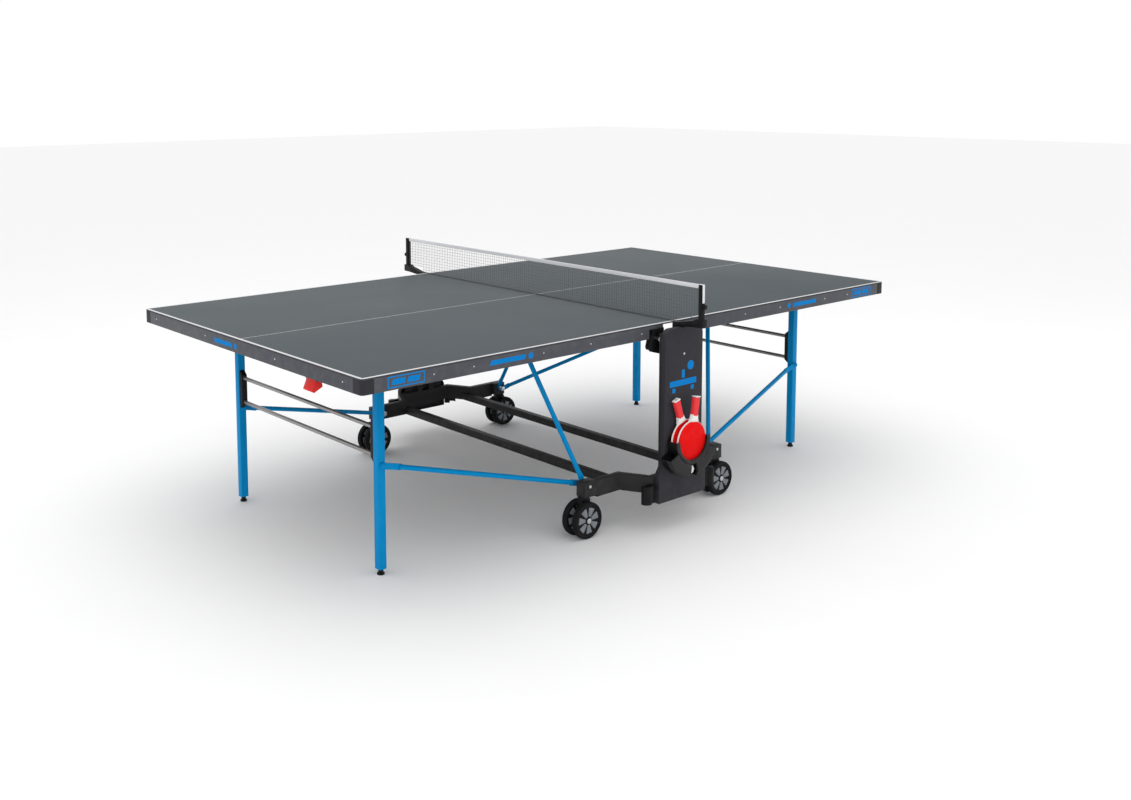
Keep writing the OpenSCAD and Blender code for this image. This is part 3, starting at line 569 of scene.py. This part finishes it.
def woven(name, dark, light, threads, roughness):
    material = bpy.data.materials.new(name)
    material.use_nodes = True
    tree = material.node_tree
    shader = tree.nodes["Principled BSDF"]
    layer = add(tree, "Group", node_tree=weave)
    layer.inputs["Threads"].default_value = threads
    tree.links.new(add(tree, "TexCoord").outputs["Object"], layer.inputs["Vector"])
    tree.links.new(blended(tree, layer.outputs["Thread"], (*dark, 1), (*light, 1)),
                   shader.inputs["Base Color"])
    tree.links.new(layer.outputs["Normal"], shader.inputs["Normal"])
    shader.inputs["Roughness"].default_value = roughness
    shader.inputs["Sheen Weight"].default_value = 0.15
    return material


tape_cloth = woven("tape cloth", (0.62, 0.63, 0.66), (0.86, 0.86, 0.88), 300.0, 0.8)
net_string = woven("net string", (0.03, 0.033, 0.04), (0.09, 0.095, 0.105), 500.0, 0.7)
stitch_thread = woven("stitch thread", (0.3, 0.3, 0.32), (0.5, 0.5, 0.52), 700.0, 0.8)
print("cloth materials", tape_cloth.name, net_string.name)

# %% [markdown]
# The floor is a plain pale sheet with the faintest mottling. It isn't part of the object.

# %% Lay the floor
let_go()
bpy.ops.mesh.primitive_plane_add(size=60)
floor = settle(started("floor"))
floor.data.materials.append(coated("pale floor", (0.93, 0.93, 0.93), roughness=0.85, drift=0.02,
                                   grain_depth=0.0001, edge=0.0))
print("floor", floor.name)

# %% [markdown]
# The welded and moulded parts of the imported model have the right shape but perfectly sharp
# edges. A merged copy of each gets its flat faces cleaned and its edges rounded, and stands in
# for the original. Thin sheet gets a smaller round than a thick casting.

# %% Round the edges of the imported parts
def refined(node, width, material, segments=2):
    """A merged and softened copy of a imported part, which it replaces."""
    piece = bpy.data.objects.new(node + "_finished", nodes[node].data.copy())
    scene.collection.objects.link(piece)
    hold(piece)
    bpy.ops.object.mode_set(mode="EDIT")
    bpy.ops.mesh.select_all(action="SELECT")
    bpy.ops.mesh.remove_doubles(threshold=0.00002)
    bpy.ops.mesh.dissolve_limited(angle_limit=math.radians(1))
    bpy.ops.object.mode_set(mode="OBJECT")
    soften(piece, width, segments)
    return finish(piece, material, BODY_OF[node], [node])


SIDES = ("left", "right")
FACES = ("near", "far")
OUT_X = {"left": -1, "right": 1}
OUT_Y = {"near": -1, "far": 1}
for face in FACES:
    refined(f"side_bar_{face}", 0.003, chassis_paint)
    refined(f"upright_{face}", 0.0012, chassis_paint)
    refined(f"side_panel_{face}", 0.0012, panel_plastic)
    refined(f"holder_{face}", 0.0012, black_plastic)
refined("cross_beams", 0.003, chassis_paint)
refined("castor_brackets", 0.003, chassis_paint)
refined("panel_flaps", 0.0015, black_plastic)
refined("net_posts", 0.0015, black_plastic)
refined("stay_pivot_pins", 0.0008, bright_steel)
for side in SIDES:
    refined(f"{side}_board", 0.0008, board_top)
    refined(f"{side}_end_apron", 0.0008, apron_paint)
    refined(f"{side}_side_aprons", 0.0008, apron_paint)
    refined(f"{side}_corner_caps", 0.0006, cap_plastic, 1)
    refined(f"{side}_under_frame", 0.0015, chassis_paint)
    refined(f"{side}_guide_brackets", 0.002, black_plastic)
    refined(f"{side}_guide_pins", 0.001, bright_steel)
    refined(f"{side}_release_handle", 0.004, lever_red, 3)
    refined(f"{side}_lock_rod", 0.0008, bright_steel)
    refined(f"{side}_legs", 0.003, blue_paint, 3)
    refined(f"{side}_leg_rods", 0.001, rod_steel)
    refined(f"{side}_leg_brackets", 0.003, black_plastic)
    refined(f"{side}_top_stays", 0.0012, blue_paint)
    refined(f"{side}_leg_stays", 0.0012, blue_paint)
    for face in FACES:
        refined(f"foot_{side}_{face}", 0.001, black_plastic)
        refined(f"castor_{side}_{face}", 0.002, black_plastic)

# %% [markdown]
# Each castor carries two wheels. A soft tyre with a rounded tread sits on a dark dished hub, and
# seven broad blades fan out from a raised boss, closed by a domed bolt. One wheel is modelled at
# the origin and copied to all eight places.

# %% Model one castor wheel
wheel_low, wheel_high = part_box("wheels_left_near")
WHEEL_RADIUS = (wheel_high.z - wheel_low.z) / 2
WHEEL_WIDTH, WHEEL_SPACING = 0.024, 0.052
RIM = WHEEL_RADIUS - 0.012
half = WHEEL_WIDTH / 2
tyre = turned("tyre", [
    (RIM, -half + 0.002), (RIM + 0.005, -half), (WHEEL_RADIUS - 0.004, -half + 0.001),
    (WHEEL_RADIUS - 0.001, -half + 0.004), (WHEEL_RADIUS, -half + 0.008),
    (WHEEL_RADIUS - 0.0005, -0.002), (WHEEL_RADIUS - 0.0015, -0.0012),
    (WHEEL_RADIUS - 0.0015, 0.0012), (WHEEL_RADIUS - 0.0005, 0.002),
    (WHEEL_RADIUS, half - 0.008), (WHEEL_RADIUS - 0.001, half - 0.004),
    (WHEEL_RADIUS - 0.004, half - 0.001), (RIM + 0.005, half),
    (RIM, half - 0.002), (RIM, -half + 0.002)], (0, 0, 0), sides=64)
smooth(tyre, 40)
hub = turned("hub", [(0.0055, -half), (0.012, -half), (0.015, -0.006), (RIM - 0.006, -0.006),
                     (RIM - 0.004, -half + 0.003), (RIM, -half + 0.003), (RIM, half - 0.003),
                     (RIM - 0.004, half - 0.003), (RIM - 0.006, 0.006), (0.015, 0.006),
                     (0.012, half), (0.0055, half), (0.0055, -half)], (0, 0, 0), sides=64)
soften(hub, 0.0008)
BLADES, BLADE_HALF, BLADE_TURN = 7, 0.0095, 0.3
blade_outline = []
for reach, spread in ((0.016, 19), (RIM - 0.01, 16.5), (RIM - 0.007, 14.5)):
    angle = math.radians(spread)
    blade_outline.append((reach * math.cos(angle), reach * math.sin(angle)))
blade_outline += [(a, -b) for a, b in reversed(blade_outline)]
blade = soften(plate("blade", blade_outline, "Y", -BLADE_HALF, BLADE_HALF), 0.0015, 3)
blades = joined("blades", [blade] + [
    copied(blade, turn=Matrix.Rotation(2 * math.pi * step / BLADES, 4, "Y"))
    for step in range(1, BLADES)])
bolt = joined("wheel_bolt", [
    turned("bolt_end", [(0.0098, side * half), (0.0098, side * (half + 0.0006)),
                        (0.008, side * (half + 0.0009)),
                        (0.004, side * (half + 0.0012))], (0, 0, 0))
    for side in (-1, 1)])
smooth(bolt)
print("wheel", round(WHEEL_RADIUS, 4), "tyre faces", len(tyre.data.polygons))

# %% [markdown]
# The eight wheels are copies, each pair joined on its own axle so that it turns alone. The two
# wheels of a pair are turned apart a little, so that they never look stamped alike.

# %% Fit the wheels
for side in SIDES:
    for face in FACES:
        name = f"wheels_{side}_{face}"
        low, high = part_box(name)
        axle = (low + high) / 2
        for pattern, label, material in (
                (tyre, "tyres", tyre_rubber), (hub, "hubs", hub_dark),
                (blades, "blades", spoke_grey), (bolt, "bolts", bright_steel)):
            pair = [copied(pattern, move=axle + Vector((0, offset * WHEEL_SPACING / 2, 0)),
                           turn=Matrix.Rotation(BLADE_TURN * offset, 4, "Y")) for offset in (-1, 1)]
            piece = joined(f"{name}_{label}", pair)
            finish(piece, material, name, [name] if label == "tyres" else [])
for pattern in (tyre, hub, blades, bolt):
    discard(pattern)

# %% [markdown]
# Both bats hang with the blade down, one behind the other, with their grips crossed outwards.
# An outdoor bat is a moulded white core with a red rubber on each face; the core shows as a rim
# and as the collar of the grip, which ends in a white butt. The bat is modelled upright about
# the centre of its blade and then tilted into place.

# %% Model the bats
BLADE_RADIUS = 0.0755


def arc(radius, start, end, steps):
    """Points along an arc, in degrees from the X axis."""
    return [(radius * math.cos(math.radians(start + (end - start) * step / steps)),
             radius * math.sin(math.radians(start + (end - start) * step / steps)))
            for step in range(steps + 1)]


def bat(name, place, lean):
    """One bat; place is the blade's centre."""
    core_outline = arc(BLADE_RADIUS, 112, 428, 56) + [
        (0.019, 0.0795), (0.0145, 0.086), (0.0135, 0.097),
        (-0.0135, 0.097), (-0.0145, 0.086), (-0.019, 0.0795)]
    core = soften(plate(name + "_core", core_outline, "Y", -0.0031, 0.0031), 0.0012, 3)
    collar = soften(plate(name + "_collar", [(-0.0215, 0.0735), (0.0215, 0.0735), (0.016, 0.085),
                                             (0.0145, 0.099), (-0.0145, 0.099), (-0.016, 0.085)],
                          "Y", -0.0085, 0.0085), 0.003, 4)
    butt = soften(plate(name + "_butt", [(-0.0138, 0.1625), (0.0138, 0.1625), (0.0142, 0.1665),
                                         (-0.0142, 0.1655)], "Y", -0.0102, 0.0102), 0.0012, 3)
    core = joined(name + "_core", [core, collar, butt])
    rubber_outline = arc(BLADE_RADIUS - 0.0018, 107, 433, 60)
    sheets = [soften(plate(name + "_sheet", rubber_outline, "Y", low, high), 0.0007, 2)
              for low, high in ((-0.0052, -0.0031), (0.0031, 0.0052))]
    rubbers = joined(name + "_rubbers", sheets)
    grip = soften(plate(name + "_grip", [(-0.0138, 0.092), (0.0138, 0.092), (0.0128, 0.115),
                                         (0.0138, 0.14), (0.0142, 0.1628), (-0.0142, 0.1628),
                                         (-0.0138, 0.14), (-0.0128, 0.115)],
                        "Y", -0.0103, 0.0103), 0.006, 5)
    lens = rod(name + "_mark", (0, 0, 0.1662), 0.0028, 0.001, "Z", 24)
    turn = Matrix.Rotation(math.radians(lean), 4, "Y")
    for piece, material in ((core, bat_white), (rubbers, bat_red), (grip, grip_red),
                            (lens, black_plastic)):
        piece.matrix_world = Matrix.Translation(place) @ turn
        settle(piece)
        finish(piece, material, name, [name] if piece == core else [])


HOLDER_Z = 0.335
panel_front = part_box("side_panel_near")[0].y
bat("bat_back", (-0.005, panel_front - 0.0155, HOLDER_Z - 0.0055), -19)
bat("bat_front", (0.001, panel_front - 0.0375, HOLDER_Z - 0.0075), 9)
print("bats at", round(panel_front, 4))

# %% [markdown]
# The bat holder's front is a dark rolled rim around the cradle and, under it, a grained cover
# over the ball tray with a gap in the middle where the ball shows. Both are sections spun around
# the holder's centre; the cover is crowned, so it catches light along its middle.

# %% Model the holder's front
CRADLE, TRAY, HOLDER_DEPTH = 0.084, 0.138, 0.052
for face in FACES:
    front = OUT_Y[face] * (abs(panel_front) + HOLDER_DEPTH)
    out = OUT_Y[face]
    centre = (0, front, HOLDER_Z)
    rim_section = [(CRADLE - 0.0085, -out * 0.004), (CRADLE - 0.0085, out * 0.002),
                   (CRADLE - 0.006, out * 0.0045), (CRADLE + 0.001, out * 0.005),
                   (CRADLE + 0.0045, out * 0.003), (CRADLE + 0.0045, -out * 0.004)]
    rim = smooth(swept(f"holder_rim_{face}", rim_section, centre, math.radians(-182),
                       math.radians(184), 60), 50)
    finish(rim, tray_plastic, "carriage")
    cover_section = [(CRADLE + 0.0045, -out * 0.0005), (CRADLE + 0.008, out * 0.003),
                     (CRADLE + 0.02, out * 0.006), (CRADLE + 0.034, out * 0.0065),
                     (CRADLE + 0.047, out * 0.004), (TRAY + 0.001, -out * 0.002),
                     (TRAY + 0.001, -out * 0.018), (TRAY - 0.001, -out * 0.018),
                     (TRAY - 0.001, -out * 0.0005)]
    covers = [smooth(swept(f"holder_cover_{face}", cover_section, centre, math.radians(start),
                           math.radians(56), 36), 50) for start in (-155, -81)]
    finish(joined(f"holder_cover_{face}", covers), tray_plastic, "carriage")
print("holder fronts at", round(front, 4))

# %% [markdown]
# The ball is a light plastic shell with a faint seam round its middle where the halves meet.

# %% Model the ball
ball_low, ball_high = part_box("ball")
BALL_RADIUS = (ball_high.z - ball_low.z) / 2
seam = [(BALL_RADIUS * math.sin(math.radians(angle)), -BALL_RADIUS * math.cos(math.radians(angle)))
        for angle in (2, 8, 16, 26, 36, 46, 56, 66, 76, 84, 88.5)]
profile = seam + [(BALL_RADIUS - 0.0002, 0)]
profile += [(radius, -along) for radius, along in reversed(seam)]
ball = smooth(turned("ball_shell", profile, (ball_low + ball_high) / 2, "X", 48), 60)
finish(ball, ball_white, "ball", ["ball"])
print("ball", round(BALL_RADIUS * 2000, 1), "mm")

# %% [markdown]
# The net is knotless mesh with cells of about twelve millimetres, stretched between the posts.
# A flat grid gets its lower corners cut away over the post brackets, and its edges are then
# turned into strings. A thicker cord runs along the bottom and up both sides.

# %% Model the net
net_low, net_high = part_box("net")
tape_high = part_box("net_tape")[1]
CELL = 0.0123
width = net_high.y - net_low.y
bottom, top = net_low.z, net_high.z + 0.004
let_go()
bpy.ops.mesh.primitive_grid_add(x_subdivisions=round(width / CELL),
                                y_subdivisions=round((top - bottom) / CELL),
                                size=1, location=(0, 0, (bottom + top) / 2),
                                rotation=(math.pi / 2, 0, math.pi / 2))
mesh_net = started("net_strings")
mesh_net.scale = (width, top - bottom, 1)
settle(mesh_net)
CLEAR_Y, CLEAR_Z = 0.783, 0.788
bpy.ops.object.mode_set(mode="EDIT")
bpy.ops.mesh.select_all(action="DESELECT")
bpy.ops.mesh.select_mode(type="FACE")
shape = bmesh.from_edit_mesh(mesh_net.data)
for cell in shape.faces:
    middle = cell.calc_center_median()
    if abs(middle.y) > CLEAR_Y and middle.z < CLEAR_Z:
        cell.select_set(True)
bmesh.update_edit_mesh(mesh_net.data)
bpy.ops.mesh.delete(type="FACE")
bpy.ops.object.mode_set(mode="OBJECT")
modify(mesh_net, "WIREFRAME", thickness=0.0013, use_even_offset=False, use_boundary=True,
       use_replace=True)
cords = [rod("net_cord", (0, 0, bottom + 0.001), 0.0013, 2 * CLEAR_Y - 0.01, "Y", 10)]
for out in (-1, 1):
    cords.append(rod("net_cord", (0, out * (net_high.y - 0.002), (CLEAR_Z + top) / 2), 0.0013,
                     top - CLEAR_Z - 0.004, "Z", 10))
mesh_net = joined("net_strings", [mesh_net] + cords)
finish(mesh_net, net_string, "carriage", ["net"])
print("net faces", len(mesh_net.data.polygons))

# %% [markdown]
# The white tape is a strip folded over the top cord. It is a thin sheet bent over a round, then
# given a cloth's thickness, with a line of stitches along its lower edge. A tail of the same
# tape crosses each post and hangs down its outer face.

# %% Model the tape
TAPE_ROUND, TAPE_SKIN = 0.0019, 0.0004
tape_top = tape_high.z - TAPE_SKIN
tape_bottom = tape_high.z - 0.015
post_outer = 0.899 + 0.0085


def strip(name, path, axis, low, high, thickness):
    """A ribbon that follows a path of points, extruded along one axis and thickened."""
    let_go()
    bpy.ops.mesh.primitive_plane_add(size=1)
    piece = started(name)
    bpy.ops.object.mode_set(mode="EDIT")
    shape = bmesh.from_edit_mesh(piece.data)
    shape.clear()
    place = {"Y": lambda a, b: (a, low, b), "X": lambda a, b: (low, a, b)}[axis]
    points = [shape.verts.new(place(a, b)) for a, b in path]
    for first, second in zip(points, points[1:]):
        shape.edges.new((first, second))
    bmesh.update_edit_mesh(piece.data)
    bpy.ops.mesh.select_mode(type="VERT")
    bpy.ops.mesh.select_all(action="SELECT")
    push = (high - low, 0, 0) if axis == "X" else (0, high - low, 0)
    bpy.ops.mesh.extrude_region_move(TRANSFORM_OT_translate={"value": push})
    bpy.ops.object.mode_set(mode="OBJECT")
    modify(piece, "SOLIDIFY", thickness=thickness, offset=0)
    bpy.ops.object.mode_set(mode="EDIT")
    bpy.ops.mesh.select_all(action="SELECT")
    bpy.ops.mesh.normals_make_consistent(inside=False)
    bpy.ops.object.mode_set(mode="OBJECT")
    return smooth(piece, 50)


bend = [(TAPE_ROUND * math.cos(math.radians(angle)),
         tape_top - TAPE_ROUND + TAPE_ROUND * math.sin(math.radians(angle)))
        for angle in range(0, 181, 20)]
fold = [(TAPE_ROUND, tape_bottom)] + bend + [(-TAPE_ROUND, tape_bottom)]
half_length = net_high.y - 0.0005
tape = strip("net_tape_fold", fold, "Y", -half_length, half_length, TAPE_SKIN)
finish(tape, tape_cloth, "carriage", ["net_tape"])

knob_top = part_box("net_knob_near")[1].z
tail_low = knob_top + 0.004
TAIL_WIDTH, STITCH_STEP = 0.012, 0.012
post_inner = net_high.y
for face in FACES:
    out = OUT_Y[face]
    face_y, top_z = post_outer + 0.0006, tape_high.z - 0.0004
    path = [(out * (post_inner - 0.004), top_z), (out * (face_y - 0.002), top_z),
            (out * (face_y - 0.0006), top_z - 0.0006), (out * face_y, top_z - 0.002),
            (out * face_y, tail_low)]
    tail = strip(f"net_tape_tail_{face}", path, "X", -TAIL_WIDTH / 2, TAIL_WIDTH / 2, TAPE_SKIN)
    finish(tail, tape_cloth, "carriage")
stitches = joined("tape_stitches", [
    rod("stitch", (out * (TAPE_ROUND + TAPE_SKIN / 2), -half_length + 0.006 + STITCH_STEP * step,
                   tape_bottom + 0.0025), 0.0003, 0.008, "Y", 6)
    for out in (-1, 1) for step in range(int(2 * half_length / STITCH_STEP))])
finish(stitches, stitch_thread, "carriage")

# %% [markdown]
# A knurled knob on each post tightens the net. A turned body has grips pulled inwards between
# its ridges, and a domed face.

# %% Model the net knobs
for face in FACES:
    name = f"net_knob_{face}"
    low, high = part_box(name)
    out = OUT_Y[face]
    base = min(abs(low.y), abs(high.y))
    knob = turned(name + "_stem", [(0.004, 0), (0.004, 0.003)], (0, 0, 0), "Y", 24)
    ridges = [((0.009 if step % 2 else 0.0078) * math.cos(2 * math.pi * step / 36),
               (0.009 if step % 2 else 0.0078) * math.sin(2 * math.pi * step / 36))
              for step in range(36)]
    head = soften(plate(name + "_head", ridges, "Y", 0.003, 0.0118), 0.0006, 2, 25)
    knob = joined(name + "_turned", [knob, head])
    knob.matrix_world = (Matrix.Translation((0, out * base, (low.z + high.z) / 2))
                         @ Matrix.Diagonal((1, 1 if out > 0 else -1, 1, 1)))
    settle(knob)
    bpy.ops.object.mode_set(mode="EDIT")
    bpy.ops.mesh.select_all(action="SELECT")
    bpy.ops.mesh.normals_make_consistent(inside=False)
    bpy.ops.object.mode_set(mode="OBJECT")
    finish(knob, black_plastic, name, [name])
print("knobs", round(base, 4))

# %% [markdown]
# Small domed screws hold the aprons to the frame, a larger one sits high on each side panel, and
# hexagon bolts mark the castor blocks and the side bars. Each pattern is made once at the origin,
# facing along +Y, and copied wherever it is needed.

# %% Model the screws and bolts
def screw(radius, height):
    """A domed screw head with a sunk recess."""
    head = turned("screw", [(radius, 0), (radius * 0.94, height * 0.5),
                            (radius * 0.72, height * 0.86), (radius * 0.36, height),
                            (radius * 0.32, height * 0.7),
                            (radius * 0.1, height * 0.65)], (0, 0, 0), "Y", 20)
    return smooth(head, 40)


def hexagon_bolt(radius, height):
    """A hexagon head on a round washer."""
    washer = soften(rod("washer", (0, 0.0006, 0), radius * 1.35, 0.0012, "Y", 24), 0.0003)
    head = turned("hexagon", [(radius, 0), (radius, height * 0.8), (radius * 0.8, height)],
                  (0, 0, 0), "Y", 6)
    return joined("bolt", [smooth(head, 20), washer])


def turned_to(direction):
    """A turn that brings +Y to a direction."""
    return Vector((0, 1, 0)).rotation_difference(Vector(direction)).to_matrix().to_4x4()


screw_pattern = screw(0.0027, 0.0013)
bolt_pattern = hexagon_bolt(0.0042, 0.003)


def fixings(name, pattern, places, body):
    """Copies of one fixing at (place, direction), joined as one piece."""
    made = [copied(pattern, move=place, turn=turned_to(direction)) for place, direction in places]
    return finish(joined(name, made), bright_steel, body)


APRON_MIDDLE, PANEL_SCREW_HEIGHT = 0.733, 0.647
CASTOR_BOLT_X, CASTOR_BOLT_HEIGHT = 0.35, 0.188
BAR_BOLT_X, BAR_BOLT_Y, BAR_BOLT_HEIGHT = 0.178, 0.7045, 0.189
SIDE_SCREWS = (0.165, 0.42, 0.64, 0.94, 1.1)
END_SCREWS = (-0.66, -0.25, 0.25, 0.66)
for side in SIDES:
    end = OUT_X[side] * TOP_LENGTH / 2
    places = [((OUT_X[side] * x, out * TOP_WIDTH / 2, APRON_MIDDLE), (0, out, 0))
              for x in SIDE_SCREWS for out in (-1, 1)]
    places += [((end, y, APRON_MIDDLE), (OUT_X[side], 0, 0)) for y in END_SCREWS]
    fixings(f"{side}_apron_screws", screw_pattern, places, f"{side}_half")
bracket_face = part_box("castor_brackets")[1].y
places = []
for out_x in (-1, 1):
    for out_y in (-1, 1):
        for x, y, height in ((CASTOR_BOLT_X, bracket_face, CASTOR_BOLT_HEIGHT),
                             (BAR_BOLT_X, BAR_BOLT_Y, BAR_BOLT_HEIGHT)):
            places.append(((out_x * x, out_y * y, height), (0, out_y, 0)))
fixings("carriage_bolts", bolt_pattern, places, "carriage")
panel_screws = [((0, out * abs(panel_front), PANEL_SCREW_HEIGHT), (0, out, 0)) for out in (-1, 1)]
panel_pattern = screw(0.0046, 0.002)
fixings("panel_screws", panel_pattern, panel_screws, "carriage")
for pattern in (screw_pattern, bolt_pattern, panel_pattern):
    discard(pattern)
print("carriage bolts", len(places))

# %% [markdown]
# Plain film marks in the paint's blue stand where a maker would put a name: a long bar with a
# dot on each side apron, a framed block near each corner, and a bar on the end apron. The panel
# carries a simple sign for a table, a net and a ball. Film is thin, so each mark stands a
# fraction of a millimetre proud.

# %% Lay the film marks
FILM, DOT_RADIUS, LINE = 0.0003, 0.0105, 0.004


def marks(outlines, axis, surface, out):
    """Thin films on a face that looks along one axis."""
    low, high = sorted((surface, surface + out * FILM))
    return [plate("film", outline, axis, low, high) for outline in outlines]


def bar(left, right, low, high):
    return [(left, low), (right, low), (right, high), (left, high)]


def slant(left, right, low, high, lean=0.006):
    return [(left, low), (right, low), (right + lean, high), (left + lean, high)]


def disc(x, z, radius, steps=32):
    return [(x + radius * math.cos(2 * math.pi * step / steps),
             z + radius * math.sin(2 * math.pi * step / steps)) for step in range(steps)]


for side in SIDES:
    out_x = OUT_X[side]
    for face in FACES:
        out = OUT_Y[face]
        surface = out * TOP_WIDTH / 2
        long_low, long_high = sorted((out_x * 0.875, out_x * 0.725))
        low, high = sorted((out_x * 1.275, out_x * 1.135))
        films = marks([slant(long_low, long_high, 0.725, 0.741),
                       disc(out_x * 0.698, 0.733, DOT_RADIUS),
                       bar(low, high, 0.7145, 0.7185),
                       bar(low, high, 0.7475, 0.7515),
                       bar(low, low + LINE, 0.7185, 0.7475),
                       bar(high - LINE, high, 0.7185, 0.7475),
                       slant(low + 0.014, low + 0.062, 0.724, 0.742),
                       slant(low + 0.072, low + 0.118, 0.724, 0.742)], "Y", surface, out)
        finish(joined(f"{side}_film_{face}", films), decal_blue, f"{side}_half")
    end = out_x * TOP_LENGTH / 2
    films = marks([slant(0.045, 0.175, 0.722, 0.738), disc(0.022, 0.73, DOT_RADIUS)],
                  "X", end, out_x)
    finish(joined(f"{side}_film_end", films), decal_blue, f"{side}_half")
for face in FACES:
    out = OUT_Y[face]
    surface = out * abs(panel_front)
    films = marks([bar(-0.076, 0.068, 0.53, 0.552), bar(-0.012, 0.004, 0.558, 0.588),
                   bar(-0.062, -0.046, 0.508, 0.524), bar(0.038, 0.054, 0.508, 0.524),
                   disc(0.036, 0.6, 0.0175)], "Y", surface, out)
    finish(joined(f"panel_film_{face}", films), decal_blue, "carriage")

# %% [markdown]
# Last, the imported parts that still show are listed.

# %% List the imported parts that still show
left_over = [name for name, thing in nodes.items() if not thing.hide_render]
print("packed parts still showing", left_over)
